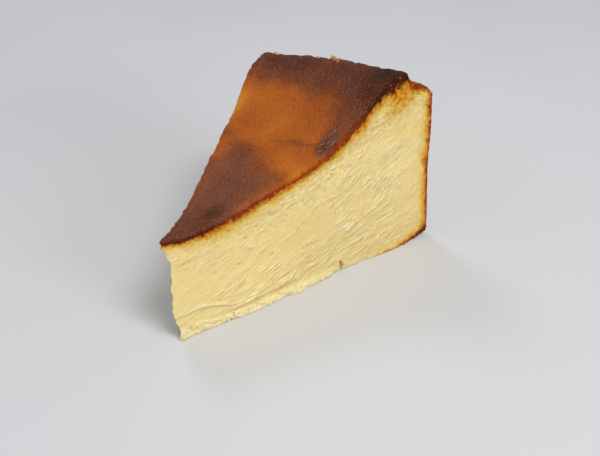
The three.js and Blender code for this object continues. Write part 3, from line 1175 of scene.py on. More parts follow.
@dataclass(frozen=True)
class CurdFinish(Finish):
    """The cut curd: moist, creamy and faintly translucent, browned where it meets the baked skin."""

    name: str = "cut_curd"
    cream: Triple = (0.75, 0.590, 0.218)
    # Pale is both the curd's own paler tone, in its broad blotches, and the painted highlight on its relief;
    # hollow is painted shade
    pale: Triple = (0.92, 0.825, 0.52)
    hollow: Triple = (0.60, 0.405, 0.085)
    painted_foot_shade: Triple = (0.62, 0.475, 0.180)
    warm: Triple = (0.68, 0.48, 0.135)
    crumb: Triple = (0.80, 0.69, 0.38)
    crust: Stops = (
        (0.0, (0.180, 0.024, 0.001)),
        (0.06, (0.270, 0.042, 0.001)),
        (0.11, (0.390, 0.085, 0.001)),
        (0.17, (0.540, 0.175, 0.004)),
        (0.24, (0.630, 0.275, 0.014)),
        (0.32, (0.660, 0.390, 0.060)),
        (0.43, (0.680, 0.470, 0.125)),
        (0.62, (0.710, 0.545, 0.195)),
        (0.85, (0.750, 0.590, 0.218)),
    )
    crust_reach: float = 3.0
    burn: Triple = (0.20, 0.15, 0.80)
    glint: Triple = (0.85, 0.50, 0.32)
    toast: Triple = (0.56, 0.235, 0.015)
    char: Triple = (0.075, 0.012, 0.003)
    low_strokes: Strokes = ((0.27, (0.07, 0.85, 1.0)), (0.45, (0.13, 0.9, 1.0)))
    high_strokes: Strokes = ((0.40, (0.16, 1.0, 1.0)), (0.72, (0.20, 1.05, 1.0)), (0.95, (0.26, 1.1, 1.0)))
    dents: Strokes = ((0.12, (0.28, 1.05, 1.0)), (0.75, (0.34, 1.2, 1.0)))
    dent_share: float = 0.65
    broad_mottle: Span = (60.0, 3.0)
    fine_mottle: Span = (420.0, 4.0)
    ragged_mottle: Span = (800.0, 2.0)
    pepper_mottle: Span = (1500.0, 2.0)
    pebbles: Span = (1300.0, 600.0)
    roughness: float = 0.30
    specular: float = 0.5
    subsurface: float = 0.45
    subsurface_radius: Triple = (1.0, 0.62, 0.25)
    subsurface_scale: float = 0.0008
    coat: float = 0.0
    coat_roughness: float = 0.15
    crust_lumps: float = 0.0
    bump: float = 0.001

    def strokes(self, nodes: Nodes, effects: Effects, place: Socket, rise: Socket) -> tuple[Socket, ...]:
        """Draws the knife's torn strokes, and the dents of the curdled band under the skin.

        Args:
            nodes: The helper for the material's tree.
            effects: The shared node groups.
            place: The place on the cut.
            rise: The height above a line that climbs from the tip.

        Returns:
            The strokes' crests, shades and fibres.
        """
        cloud = nodes.noise(place, 0.09, 1.0)["Fac"]
        upper = nodes.span(rise, 4.0, 16.0)
        weights = (
            nodes.span(rise, 6.0, 18.0, 1.2, 0.0),
            nodes.span(rise, 8.0, 20.0, 0.9, 0.0),
            nodes.times(upper, nodes.span(cloud, 0.42, 0.55)),
            nodes.times(upper, nodes.span(cloud, 0.45, 0.58, 1.0, 0.0)),
            nodes.span(cloud, 0.52, 0.62, 0.0, 0.8),
        )
        terms = {"Crest": [], "Shade": [], "Fibre": []}
        for weight, (turn, cells) in zip(weights, self.low_strokes + self.high_strokes):
            layer = effects.strokes(nodes, place, turn, cells)
            for name, pairs in terms.items():
                pairs.append((layer[name], weight))
        drag = nodes.attribute("drag")
        totals = {name: nodes.times(nodes.weigh(*pairs), drag) for name, pairs in terms.items()}
        band = nodes.times(nodes.attribute("curdle"), self.dent_share)
        for turn, cells in self.dents:
            layer = effects.strokes(nodes, place, turn, cells)
            for name in ("Crest", "Shade"):
                totals[name] = nodes.plus(nodes.times(layer[name], band), totals[name])
        return tuple(totals.values())

    def baked(self, nodes: Nodes, share: Socket, dots: Socket) -> Socket:
        """Colours the crust, burnt where the skin above it is.

        Args:
            nodes: The helper for the material's tree.
            share: How deep below the crust it is.
            dots: Pinprick dots.

        Returns:
            The crust's colour.
        """
        scorch = nodes.attribute("scorch")
        deep = nodes.weigh((share, 1.0), (nodes.span(scorch, 0.55, 0.8, 0.0, 0.05), -1.0))
        burnt = nodes.times(nodes.span(scorch, 0.52, 0.8), nodes.span(deep, 0.04, 0.15, 1.0, 0.0))
        crust = nodes.tint(burnt, nodes.ramp(share, self.crust), self.burn)
        glints = nodes.times(dots, nodes.span(share, 0.02, 0.13, 0.25, 0.0))
        return nodes.blend(glints, crust, self.glint)

    def paint(self, nodes: Nodes, shader: Node, effects: Effects) -> None:
        """Feeds the shader.

        Args:
            nodes: The helper for the material's tree.
            shader: The Principled shader.
            effects: The shared node groups.
        """
        mottles = (self.broad_mottle, self.fine_mottle, self.ragged_mottle, self.pepper_mottle)
        broad, fine, ragged, pepper = (effects.mottle(nodes, *mottle) for mottle in mottles)
        pebble, dots = effects.pebble(nodes, *self.pebbles)
        place = nodes.attribute("cut_place", "Vector")
        parts = nodes.add("ShaderNodeSeparateXYZ", Vector=place).outputs
        out, up = parts["X"], parts["Y"]
        crest, shade, fibre = self.strokes(nodes, effects, place, nodes.weigh((up, 1.0), (out, -0.12)))
        clots = nodes.times(nodes.attribute("curdle"), ragged)
        crumble = nodes.attribute("crumble")
        # Painted shade: the curd darker low on the cut towards the wall
        foot = nodes.times(nodes.span(out, 28.0, 58.0), nodes.span(up, 6.0, 38.0, 1.0, 0.0))
        rim = nodes.times(nodes.span(out, 70.0, 82.0), nodes.span(up, 36.0, 48.0))
        washes = (
            (nodes.span(broad, -1.0, 1.0, 0.0, 0.16), self.pale),
            # Painted highlight on whisker crests, fine relief and smear lips
            (nodes.times(nodes.attribute("ridge"), 0.65, clamp=True), self.pale),
            # Painted shade in the curdled band's low spots and painted highlight on its lumps
            (nodes.span(clots, -0.8, -0.1, 0.3, 0.0), self.hollow),
            (nodes.span(clots, 0.15, 0.8, 0.0, 0.3), self.pale),
            # Painted shade low on the cut towards the wall
            (nodes.times(foot, 0.55), self.painted_foot_shade),
            (nodes.times(rim, 0.5), self.warm),
            # Painted shade and painted highlight along the fibres
            (nodes.span(fibre, -1.2, 0.0, 0.35, 0.0), self.hollow),
            (nodes.span(fibre, 0.0, 1.2, 0.0, 0.35), self.pale),
            # Painted shade under each torn stroke and painted highlight on its crest
            (nodes.times(shade, 1.5, clamp=True), self.hollow),
            (nodes.times(crest, 1.5, clamp=True), self.pale),
            # The crumb band's own paler curd, lightest on the grains' tops as painted highlight
            (nodes.times(crumble, 0.85), self.crumb),
            # Painted shade in the pores, under the smear lips and whiskers, and in the nick
            (nodes.times(nodes.attribute("painted_recess_shade"), 0.75), self.hollow),
        )
        cream = self.cream
        for wash, tone in washes:
            cream = nodes.blend(wash, cream, tone)
        depth = nodes.weigh((nodes.attribute("crust_depth"), 1.0), (fine, 0.20), (ragged, 0.24))
        share = nodes.math("DIVIDE", depth, self.crust_reach, clamp=True)
        colour = nodes.blend(nodes.span(share, 0.5, 1.0), self.baked(nodes, share, dots), cream)
        speckled = nodes.span(nodes.weigh((nodes.attribute("toast"), 1.0), (pepper, 0.75)), 0.6, 1.25)
        speckled = nodes.times(speckled, nodes.span(share, 0.28, 0.45, 0.0, 0.75))
        colour = nodes.blend(speckled, colour, self.toast)
        colour = nodes.blend(nodes.times(nodes.attribute("char"), 0.75), colour, self.char)
        dull = nodes.plus(nodes.times(fine, 0.05), self.roughness)
        nodes.set(shader, Base_Color=colour, Roughness=dull, Specular_IOR_Level=self.specular)
        nodes.set(shader, Subsurface_Weight=self.subsurface, Subsurface_Radius=self.subsurface_radius)
        nodes.set(shader, Subsurface_Scale=self.subsurface_scale)
        nodes.set(shader, Coat_Weight=self.coat, Coat_Roughness=self.coat_roughness)
        near_crust = nodes.span(share, 0.25, 0.45, self.crust_lumps, 0.0)
        height = nodes.weigh(
            (crest, 0.19), (shade, -0.02), (fibre, 0.025), (pebble, 0.14), (clots, 0.03),
            (crumble, nodes.times(ragged, 0.05)), (pebble, near_crust),
        )
        bumped = nodes.bump(self.bump, 1.0, height)
        nodes.set(shader, Normal=bumped, Coat_Normal=bumped)


@dataclass(frozen=True)
class WallFinish(Finish):
    """The baked wall and base: orange-brown, darker in the paper's folds and at the foot."""

    name: str
    stops: Stops = (
        (0.0, (0.780, 0.520, 0.150)),
        (0.3, (0.480, 0.180, 0.022)),
        (0.55, (0.260, 0.075, 0.013)),
        (0.8, (0.110, 0.030, 0.009)),
        (1.0, (0.035, 0.013, 0.007)),
    )
    broad_mottle: Span = (95.0, 5.0)
    fine_mottle: Span = (650.0, 4.0)
    pebbles: Span = (1400.0, 700.0)
    pleat_scale: Triple = (90.0, 90.0, 34.0)
    roughness: Span = (0.5, 0.7)
    specular: float = 0.35
    bump: float = 0.0004
    bump_strength: float = 0.8

    def paint(self, nodes: Nodes, shader: Node, effects: Effects) -> None:
        """Feeds the shader.

        Args:
            nodes: The helper for the material's tree.
            shader: The Principled shader.
            effects: The shared node groups.
        """
        broad, fine = effects.mottle(nodes, *self.broad_mottle), effects.mottle(nodes, *self.fine_mottle)
        pebble, _ = effects.pebble(nodes, *self.pebbles)
        upright = nodes.vector("MULTIPLY", nodes.place(), self.pleat_scale)
        pleats = nodes.add("ShaderNodeTexVoronoi", {"feature": "DISTANCE_TO_EDGE"}, Vector=upright, Scale=1.0)
        away = nodes.weigh((pleats.outputs["Distance"], 1.0), (fine, 0.02))
        fold = nodes.times(nodes.span(away, 0.0, 0.09, 1.0, 0.0), nodes.span(broad, -0.6, 0.4))
        scorch = nodes.weigh((nodes.attribute("scorch"), 1.0), (broad, 0.10), (fine, 0.08), (fold, -0.10))
        dull = nodes.span(fine, -1.0, 1.0, *self.roughness)
        nodes.set(shader, Base_Color=nodes.ramp(scorch, self.stops), Roughness=dull)
        height = nodes.weigh((pebble, 0.5), (fold, 1.0), (fine, 0.3))
        bumped = nodes.bump(self.bump, self.bump_strength, height)
        nodes.set(shader, Specular_IOR_Level=self.specular, Normal=bumped)


@dataclass(frozen=True)
class FlakeFinish(Finish):
    """Golden, slightly glossy flakes of baked curd."""

    name: str = "golden_flake"
    light: Triple = (0.72, 0.36, 0.05)
    dark: Triple = (0.42, 0.13, 0.012)
    fine_mottle: Span = (900.0, 3.0)
    roughness: float = 0.45

    def paint(self, nodes: Nodes, shader: Node, effects: Effects) -> None:
        """Feeds the shader two mottled golds."""
        share = nodes.span(effects.mottle(nodes, *self.fine_mottle), -0.6, 0.6)
        nodes.set(shader, Base_Color=nodes.blend(share, self.dark, self.light), Roughness=self.roughness)


def select_none() -> None:
    """Deselects every object, because a load leaves its nodes selected."""
    if bpy.context.mode != "OBJECT":
        bpy.ops.object.mode_set(mode="OBJECT")
    bpy.ops.object.select_all(action="DESELECT")


def read(items: Items, name: str, width: int, kind: type = np.int32) -> Array:
    """Reads one property of a mesh's vertices, edges or faces.

    Args:
        items: The vertices, edges or faces.
        name: The property.
        width: How many numbers each item has.
        kind: The kind of number.

    Returns:
        The numbers, one row an item.
    """
    flat = np.empty(len(items) * width, kind)
    items.foreach_get(name, flat)
    return flat.reshape(-1, width)


def read_points(mesh: Mesh) -> Array:
    """Reads the places of a mesh's vertices, one row each."""
    return read(mesh.vertices, "co", 3, np.float32).astype(float)


def write_masks(mesh: Mesh, masks: dict[str, Array | float]) -> None:
    """Gives a mesh's vertices the values of each mask, or one value for all."""
    for name, values in masks.items():
        column = np.empty(len(mesh.vertices), np.float32)
        column[:] = values
        mesh.attributes.new(name, "FLOAT", "POINT").data.foreach_set("value", column)


def edit(mesh: Mesh, kind: str, chosen: Array, action: Callable, **settings: int) -> None:
    """Runs an edit on the chosen edges or faces of the active piece.

    Args:
        mesh: The active piece's mesh.
        kind: The name of what is chosen, edges or polygons.
        chosen: Whether each of them is.
        action: The edit operator.
        **settings: The operator's own settings.
    """
    bpy.context.tool_settings.mesh_select_mode = (False, kind == "edges", kind == "polygons")
    for name in ("vertices", "edges", "polygons"):
        items = getattr(mesh, name)
        items.foreach_set("select", chosen if name == kind else np.zeros(len(items), bool))
    bpy.ops.object.mode_set(mode="EDIT")
    action(**settings)
    bpy.ops.object.mode_set(mode="OBJECT")


@dataclass
class CheesecakeSlice:
    """The slice: a stepped block, bent into a wedge, cut, crumbled and scorched."""

    form: SliceForm = SliceForm()
    cut: CutFace = CutFace()
    skin: SkinMap = SkinMap()
    splits: tuple[tuple[int, ...], ...] = ((10, 29), (8, 8), (10, 11))
    row_ease: float = 0.35
    edge_spread: float = 1.2
    corner_lift: float = 1.6
    smooth_angle: float = math.radians(60.0)
    crust_limit: float = 1.3
    toast_limit: float = 0.3
    dabs: tuple[Triple, ...] = (
        (81.4, 54.5, 1.2), (79.1, 51.3, 1.0), (83.5, 47.7, 1.0),
        (79.2, 48.0, 1.2), (85.3, 54.2, 1.0), (76.6, 47.0, 0.8),
    )
    dips: tuple[SkinSpot, ...] = spots(
        (91.0, -18.5, 3.5, 6.0, -1.0), (83.0, 11.5, 5.0, 4.0, -0.8), (83.0, -3.5, 5.0, 4.0, -0.25),
        (82.0, -18.0, 3.0, 5.0, 0.6), (20.0, -18.0, 8.0, 5.0, 0.6), (42.0, -18.0, 6.0, 5.0, -0.6),
        (65.0, -18.0, 4.0, 5.0, 0.6),
    )
    ripple: SkinSpot = SkinSpot(60.0, -18.5, 6.0, 3.0, 0.6)
    pebble: Pattern = Pattern(0.07, (1.2, 1.2), Seed.PEBBLE, 2)
    broad_pebble: Pattern = Pattern(0.11, (3.0, 3.0), Seed.BROAD_PEBBLE, 2)
    rim_lumps: Pattern = Pattern(0.38, (1.9, 1.9), Seed.RIM_LUMPS)
    rim_crags: Pattern = Pattern(0.55, (2.4, 2.4), Seed.RIM_CRAGS)
    wrinkle: Pattern = Pattern(0.45, (3.4, 1.3), Seed.WRINKLE, 2)
    wrinkle_slant: float = math.radians(35.0)
    wall_crease: Pattern = Pattern(0.45, (5.0, 26.0), Seed.WALL_CREASE)
    wall_pits: Pattern = Pattern(0.2, (1.4, 1.4), Seed.WALL_PITS)
    flange: Pattern = Pattern(0.6, (2.6, 2.0), Seed.FOOT_FLANGE, 2)
    tip_chips: Pattern = Pattern(0.5, (0.25, 1.3), Seed.TIP_CHIPS)
    shoulder_edge: Pattern = Pattern(1.6, (3.0, 3.0), Seed.SHOULDER_EDGE)
    shoulder_dark: Pattern = Pattern(0.24, (4.0, 4.0), Seed.SHOULDER)
    fold_dark: Pattern = Pattern(-0.06, (5.0, 26.0), Seed.WALL_CREASE)
    wall_dark: Pattern = Pattern(0.24, (12.0, 9.0), Seed.WALL_PATCH)
    base_edge: Pattern = Pattern(3.0, (9.0, 9.0), Seed.BASE_EDGE, 2)
    crust_patch: Pattern = Pattern(1.0, (3.4, 3.4), Seed.CRUST_PATCH)
    crust_fleck: Pattern = Pattern(0.5, (1.2, 1.2), Seed.CRUST_FLECK, 2)
    char_line: Pattern = Pattern(0.25, (2.2, 1.0), Seed.CHAR_LINE, 2)
    name: str = "cheesecake_slice"

    def block(self) -> Piece:
        """Adds a unit cube and splits its edges into even steps along each axis.

        Returns:
            The stepped block.
        """
        select_none()
        bpy.ops.mesh.primitive_cube_add(size=1.0, location=(0.0, 0.0, 0.0))
        piece = bpy.context.active_object
        piece.name = piece.data.name = self.name
        for axis, counts in enumerate(self.splits):
            for count in counts:
                self.split(piece.data, axis, count)
        return piece

    @staticmethod
    def split(mesh: Mesh, axis: int, count: int) -> None:
        """Splits every edge that runs along one axis into equal parts.

        Args:
            mesh: The block's mesh.
            axis: Which axis, from 0 for X to 2 for Z.
            count: How many parts each edge becomes.
        """
        ends = read_points(mesh)[read(mesh.edges, "vertices", 2)]
        runs = np.abs(ends[:, 1, axis] - ends[:, 0, axis]) > 1e-6
        edit(mesh, "edges", runs, bpy.ops.mesh.subdivide, number_cuts=count - 1)

    @staticmethod
    def sort_faces(mesh: Mesh) -> None:
        """Gives each face of the block its material slot, by the way that it looks.

        Args:
            mesh: The block's mesh, before it is bent.
        """
        x, _, z = read(mesh.polygons, "normal", 3, np.float32).T
        slots = np.full(len(mesh.polygons), Face.CURD, np.int32)
        slots[z > 0.5] = Face.SKIN
        slots[z < -0.5] = Face.BASE
        slots[x > 0.5] = Face.WALL
        mesh.polygons.foreach_set("material_index", slots)

    def shares(self, mesh: Mesh) -> Array:
        """Reads each vertex's shares of the block, with closer rows at top and bottom.

        Args:
            mesh: The block's mesh.

        Returns:
            Shares along, across and up, one row a vertex.
        """
        shares = np.round(np.clip(read_points(mesh) + 0.5, 0.0, 1.0), 6)
        rows = shares[:, 2]
        shares[:, 2] = mix(rows, 0.5 - 0.5 * np.cos(math.pi * rows), self.row_ease)
        return shares

    def shape(self, mesh: Mesh) -> None:
        """Bends the block into the slice, raises its relief and keeps the masks for its colours.

        Args:
            mesh: The stepped block's mesh.
        """
        shell = Shell.bend(self.form, self.shares(mesh))
        x, y = shell.flat
        points = np.stack([self.form.tip_x + x, y, shell.height], axis=1)
        masks = self.push_cuts(shell, points) | self.baked_masks(shell)
        points[:, 2] += self.skin_lift(shell) * ramp(shell.up, 0.86, 1.0)
        push = self.wall_push(shell) * ramp(shell.along, 0.985, 1.0) + self.tip_wear(shell)
        points[:, 0] += push * np.cos(shell.angle)
        points[:, 1] += push * np.sin(shell.angle)
        points[shell.up == 0.0, 2] = 0.0
        points[:, 2] += self.corner_lift * ramp(shell.radius, 91.0, 100.0) * fade(shell.height, 0.0, 8.0)
        mesh.vertices.foreach_set("co", (points * MM).astype(np.float32).ravel())
        flat = [shell.radius + 11.0 * shell.across, shell.height + 7.0 * shell.across, np.zeros_like(x)]
        place = mesh.attributes.new("cut_place", "FLOAT_VECTOR", "POINT")
        place.data.foreach_set("vector", np.stack(flat, axis=1).astype(np.float32).ravel())
        write_masks(mesh, masks)
        mesh.update()
        self.sort_crust(mesh, masks["crust_depth"], masks["toast"])

    def push_cuts(self, shell: Shell, points: Array) -> dict[str, Array]:
        """Raises the relief of both cuts, which fades into the curd behind them.

        Args:
            shell: The bent points.
            points: Their places, which are moved.

        Returns:
            The cuts' masks.
        """
        _, column = np.unique(shell.along, return_inverse=True)
        _, row = np.unique(shell.up, return_inverse=True)
        masks = {}
        for at, side, seed in ((0.0, -1.0, Seed.RIGHT), (1.0, 1.0, Seed.LEFT)):
            on = np.flatnonzero(shell.across == at)
            relief = self.cut.relief(shell.pick(on), seed)
            stand = np.zeros((column.max() + 1, row.max() + 1))
            stand[column[on], row[on]] = relief.pop("stand")
            push = stand[column, row] * np.exp(-shell.from_cut(self.form, at) / self.edge_spread)
            points += np.outer(push, (-math.sin(self.form.half), side * math.cos(self.form.half), 0.0))
            for name, values in relief.items():
                masks.setdefault(name, np.zeros(len(points)))[on] = values
        return masks

    def baked_masks(self, shell: Shell) -> dict[str, Array]:
        """Works out the masks of the skin, the wall and the browned edges of the cuts.

        Args:
            shell: The bent points.

        Returns:
            The masks by name.
        """
        radius, angle = shell.radius, shell.angle
        return {
            "wet": self.skin.sheen(radius, angle),
            "gleam": 1.1 * self.skin.wet(radius, angle),
            "edge": shell.from_cut(self.form, 0.0) * (1 - self.ripple.share(radius, angle)),
            "crag": ramp(radius, 84.0, 87.0),
            "leather": ramp(radius, 62.0, 78.0),
            "toast": self.toast(shell),
            "char": self.char(shell),
            "scorch": self.scorch(shell),
            "crust_depth": self.crust_depth(shell),
        }

    def sort_crust(self, mesh: Mesh, depth: Array, toast: Array) -> None:
        """Moves the baked edge of the cuts to the crust's material slot.

        Args:
            mesh: The shaped slice's mesh, all of four-sided faces.
            depth: How deep below the crust each vertex lies.
            toast: How speckled the curd is at each vertex.
        """
        corners = read(mesh.polygons, "vertices", 4)
        slots = read(mesh.polygons, "material_index", 1).ravel()
        baked = depth[corners].mean(axis=1) < self.crust_limit
        baked |= toast[corners].mean(axis=1) > self.toast_limit
        slots[(slots == Face.CURD) & baked] = Face.CRUST
        mesh.polygons.foreach_set("material_index", slots)

    def skin_lift(self, shell: Shell) -> Array:
        """Pebbles and creases the skin, rounds it at the cuts and breaks it up along the rim.

        Args:
            shell: The bent points.

        Returns:
            How far the skin above or at each point is raised.
        """
        radius, angle, flat = shell.radius, shell.angle, shell.flat
        right, left = shell.from_cut(self.form, 0.0), shell.from_cut(self.form, 1.0)
        pebble = self.pebble.at(*flat) + self.broad_pebble.at(*flat)
        rim = self.rim_lumps.at(*flat) * ramp(radius, 76.0, 84.0)
        crags = self.rim_crags.at(*flat) * ramp(radius, 83.5, 86.0)
        wrinkle = self.wrinkle.at(*turned(*flat, self.wrinkle_slant)) * self.skin.wet(radius, angle)
        crease = -0.25 * self.skin.crease(radius, angle)
        rolled = -0.4 * fade(np.minimum(right, left), 0.0, 1.5)
        rolled = rolled * (1 - 0.7 * shell.across * ramp(radius, 70.0, 80.0))
        high = ramp(radius, 6.0, 16.0) * fade(radius, 42.0, 52.0) + 0.8 * bell(radius, 76.0, 4.5)
        dips = spotted(self.dips, radius, angle)
        return pebble + rim + crags + wrinkle + crease + rolled + dips + high * fade(right, 0.0, 16.0)

    def wall_push(self, shell: Shell) -> Array:
        """Roughens the baked wall, creases it as the paper did and spreads its foot.

        Args:
            shell: The bent points.

        Returns:
            How far the wall stands out at each point.
        """
        arc, height = shell.angle * self.form.cake_radius, shell.height
        crease = self.wall_crease.at(arc + 1.5 * np.sin(height / 9.0), height)
        relief = (crease + self.wall_pits.at(arc, height)) * ramp(height, 0.0, 3.0)
        flange = (1.1 + self.flange.at(arc, height)) * bell(height, 0.0, 2.0)
        return flange + relief * (1 - 0.8 * ramp(shell.up, 0.93, 1.0))

    def tip_wear(self, shell: Shell) -> Array:
        """Chips the tip and fills it under the skin and at its foot.

        Args:
            shell: The bent points.

        Returns:
            How far each point is moved away from the tip.
        """
        tip = self.form.tip_radius(shell.across, shell.up)
        near = np.exp(-np.clip(shell.radius - tip, 0.0, 40.0) / 1.2) * ramp(shell.under_skin, 0.3, 2.0)
        fill = 1.4 * ramp(shell.up, 0.72, 0.9) + 1.3 * bell(shell.height, 9.5, 4.5)
        return near * (self.tip_chips.at(shell.across, shell.height) - fill)

    def scorch(self, shell: Shell) -> Array:
        """Gives how dark each point of the baked surface is.

        Args:
            shell: The bent points.

        Returns:
            Scorch from 0 to 1, read by the skin, the wall and the base.
        """
        radius, height, up = shell.radius, shell.height, shell.up
        arc = shell.angle * self.form.cake_radius
        shoulder = ramp(radius + self.shoulder_edge.at(arc, radius), 84.0, 87.0)
        skin = mix(self.skin.scorch(shell), 0.39 + self.shoulder_dark.at(arc, radius), shoulder)
        patchy = self.fold_dark.at(arc, height) + self.wall_dark.at(arc, height)
        wall = 0.42 + 0.30 * fade(height, 0.0, 14.0) + patchy + 0.15 * ramp(up, 0.8, 1.0)
        base = 0.10 + 0.75 * ramp(radius + self.base_edge.at(arc, radius), 55.0, 99.0)
        cut = mix(skin, wall, fade(shell.inside_wall, 2.0, 5.0) * fade(up, 0.97, 1.0))
        values = np.where(shell.along == 1.0, wall, np.where(up == 0.0, base, cut))
        return np.clip(values, 0.0, 1.0)

    def crust_depth(self, shell: Shell) -> Array:
        """Gives how far each point of a cut lies from the baked skin, wall or browned base.

        Args:
            shell: The bent points.

        Returns:
            Depth in millimetres, shifted so that thin crust counts as deeper.
        """
        radius, below = shell.radius, shell.under_skin
        patchy = self.crust_patch.at(radius, below) + self.crust_fleck.at(radius, below)
        crest = bell(radius, self.form.crest_radius + 1.0, 5.0)
        thick = mix(1.9, 2.6, ramp(radius, 40.0, 74.0)) + 6.0 * crest - 0.5 * ramp(radius, 86.0, 90.0)
        dark = 0.65 * ramp(radius, 54.0, 66.0) * fade(radius, 81.0, 85.0)
        dark = dark + bell(radius, 79.8, 3.2) + 0.22 * fade(radius, 22.0, 34.0)
        under = np.maximum(below - dark * (1 + 0.5 * patchy), 0.0) / (thick * (1 + 0.4 * patchy))
        inside = shell.inside_wall / (2.5 + 0.8 * patchy) + 0.06
        corner = ramp(radius, 84.0, 99.0)
        above = shell.height / (mix(1.4, 3.2, corner) * (1 + 0.5 * patchy)) - 0.3 * corner
        above = above + 0.35 * fade(radius, 86.0, 97.0) + 3.0 * fade(radius + 4.0 * patchy, 68.0, 80.0)
        return np.minimum(np.minimum(under, inside), above)

    def char(self, shell: Shell) -> Array:
        """Gives where a cut is charred: the fold under the crest, the foot's corner and the wall's edge.

        Args:
            shell: The bent points.

        Returns:
            Share of the char at each point.
        """
        radius, inside = shell.radius, shell.inside_wall
        line = 2.9 + 0.1 * (radius - 80.0) + self.char_line.at(radius, np.zeros_like(radius))
        fold = 1.25 * bell(radius, self.form.crest_radius - 2.5, 5.5) * bell(shell.under_skin, line, 0.75)
        foot = 1.2 * bell(inside, 0.0, 2.2) * bell(shell.height, 0.0, 3.4)
        edge = 0.45 * bell(inside, 0.0, 0.8) * fade(shell.height, 26.0, 44.0)
        return np.maximum(fold, np.maximum(foot, edge))

    def toast(self, shell: Shell) -> Array:
        """Gives where the curd of a cut is speckled brown, below the rim and along the skin.

        Args:
            shell: The bent points.

        Returns:
            Share of the specks at each point.
        """
        radius, height, below = shell.radius, shell.height, shell.under_skin
        dabs = sum(bell(radius, out, size) * bell(height, up, size) for out, up, size in self.dabs)
        return 0.5 * (bell(radius, 80.0, 8.0) * bell(below, 9.0, 6.0) + fade(below, 2.0, 6.0) + dabs)

    @staticmethod
    def close_base(mesh: Mesh) -> None:
        """Dissolves the flat underside's steps into one face.

        Args:
            mesh: The shaped slice's mesh.
        """
        slots = read(mesh.polygons, "material_index", 1).ravel()
        heights = read_points(mesh)[read(mesh.polygons, "vertices", 4), 2]
        flat = (heights < 1e-7).all(axis=1)
        edit(mesh, "polygons", (slots == Face.BASE) & flat, bpy.ops.mesh.dissolve_faces)

    def build(self) -> Piece:
        """Models the slice.

        Returns:
            The finished mesh object.
        """
        piece = self.block()
        for step in (self.sort_faces, self.shape, self.close_base):
            step(piece.data)
        bpy.ops.object.shade_smooth_by_angle(angle=self.smooth_angle)
        return piece

    def dress(self, piece: Piece, effects: Effects) -> None:
        """Gives the slice its finishes, in the order of its faces.

        Args:
            piece: The modelled slice.
            effects: The shared node groups.
        """
        crust = CurdFinish(
            "baked_crust", cream=(0.76, 0.57, 0.20), specular=0.06, subsurface=0.0, coat=0.03, crust_lumps=0.5
        )
        finishes = (SkinFinish(), CurdFinish(), WallFinish("baked_wall"), WallFinish("baked_base"), crust)
        for finish in finishes:
            piece.data.materials.append(finish.material(effects))


@dataclass(frozen=True)
class Grains:
    """Many small rough lumps as one mesh, copied from one modelled lump."""

    name: str
    steps: int = 2
    unevenness: float = 0.45
    tilt: float = 0.6
    turn_seed: int = 400

    def build(self, places: list[Triple], sizes: list[Array], seed: int) -> Piece:
        """Models the lumps.

        Args:
            places: Middle of each lump.
            sizes: Half-widths of each lump along its own three axes.
            seed: Which random turns to draw.

        Returns:
            The joined mesh object.
        """
        select_none()
        bpy.ops.mesh.primitive_ico_sphere_add(subdivisions=self.steps, radius=1.0)
        piece = bpy.context.active_object
        piece.name = self.name
        ball, corners = read_points(piece.data), read(piece.data.polygons, "vertices", 3)
        x, y, z = ball.T
        draw = np.random.default_rng(self.turn_seed + seed)
        points, faces = [], []
        for index, (place, size) in enumerate(zip(places, sizes)):
            bulge = 1 + self.unevenness * rough(1.7 * x + 9 * index, 1.7 * y + 2.3 * z, seed, 2)
            spin = Matrix.Rotation(draw.uniform(0, math.tau), 3, "Z")
            turn = np.array(spin @ Matrix.Rotation(draw.uniform(0, self.tilt), 3, "X"))
            points.append((ball * bulge[:, None] * size) @ turn.T + place)
            faces.append(corners + index * len(ball))
        mesh = bpy.data.meshes.new(self.name)
        mesh.from_pydata((np.concatenate(points) * MM).tolist(), [], np.concatenate(faces).tolist())
        piece.data = mesh
        bpy.ops.object.shade_smooth()
        return piece


@dataclass(frozen=True)
class CurdCrumbs:
    """Loose crumbs of curd that cling along the foot of the cuts and the tip."""

    form: SliceForm
    right: tuple[int, float] = (45, 5.0)
    left: tuple[int, float] = (35, 13.0)
    reach: float = 55.0
    crowding: float = 1.4
    climb: float = 1.2
    size: Span = (0.25, 0.65)
    sunk: Span = (-0.4, 0.1)
    tip_lumps: tuple[tuple[float, ...], ...] = (
        (4.8, 0.8, 0.0, 1.1), (6.4, 0.7, 0.1, 1.0), (4.5, 2.2, -0.5, 0.9),
        (8.2, 0.6, 0.2, 0.8), (6.0, 2.0, -0.2, 0.8),
    )

    def build(self) -> Piece:
        """Models the crumbs.

        Returns:
            The joined mesh object.
        """
        draw = np.random.default_rng(int(Seed.CRUMBS))
        places, sizes = [], []
        cut = CutFace()
        for radius, height, out, size in self.tip_lumps:
            places.append(self.place(radius, height, out, -1.0))
            sizes.append(size * draw.uniform(0.8, 1.15, 3))
        for (count, begin), side, seed in ((self.right, -1.0, Seed.RIGHT), (self.left, 1.0, Seed.LEFT)):
            for _ in range(count):
                size = draw.uniform(*self.size)
                radius = begin + self.reach * draw.uniform(0.0, 1.0) ** self.crowding
                height = max(0.6 * size, abs(draw.normal(0.0, self.climb)))
                stand = float(cut.broad(np.array([radius]), np.array([height]), seed)[0])
                places.append(self.place(radius, height, stand + draw.uniform(*self.sunk), side))
                sizes.append(size * draw.uniform(0.75, 1.15, 3))
        piece = Grains("curd_crumbs").build(places, sizes, Seed.CRUMBS)
        write_masks(piece.data, {"crust_depth": 9.0, "crumble": 0.6})
        return piece

    def place(self, radius: float, height: float, out: float, side: float) -> Triple:
        """Gives the place of a crumb that stands out of the cut at side -1, the right-hand one, or 1."""
        sine, cosine = math.sin(self.form.half), math.cos(self.form.half)
        return self.form.tip_x + radius * cosine - out * sine, side * (radius * sine + out * cosine), height


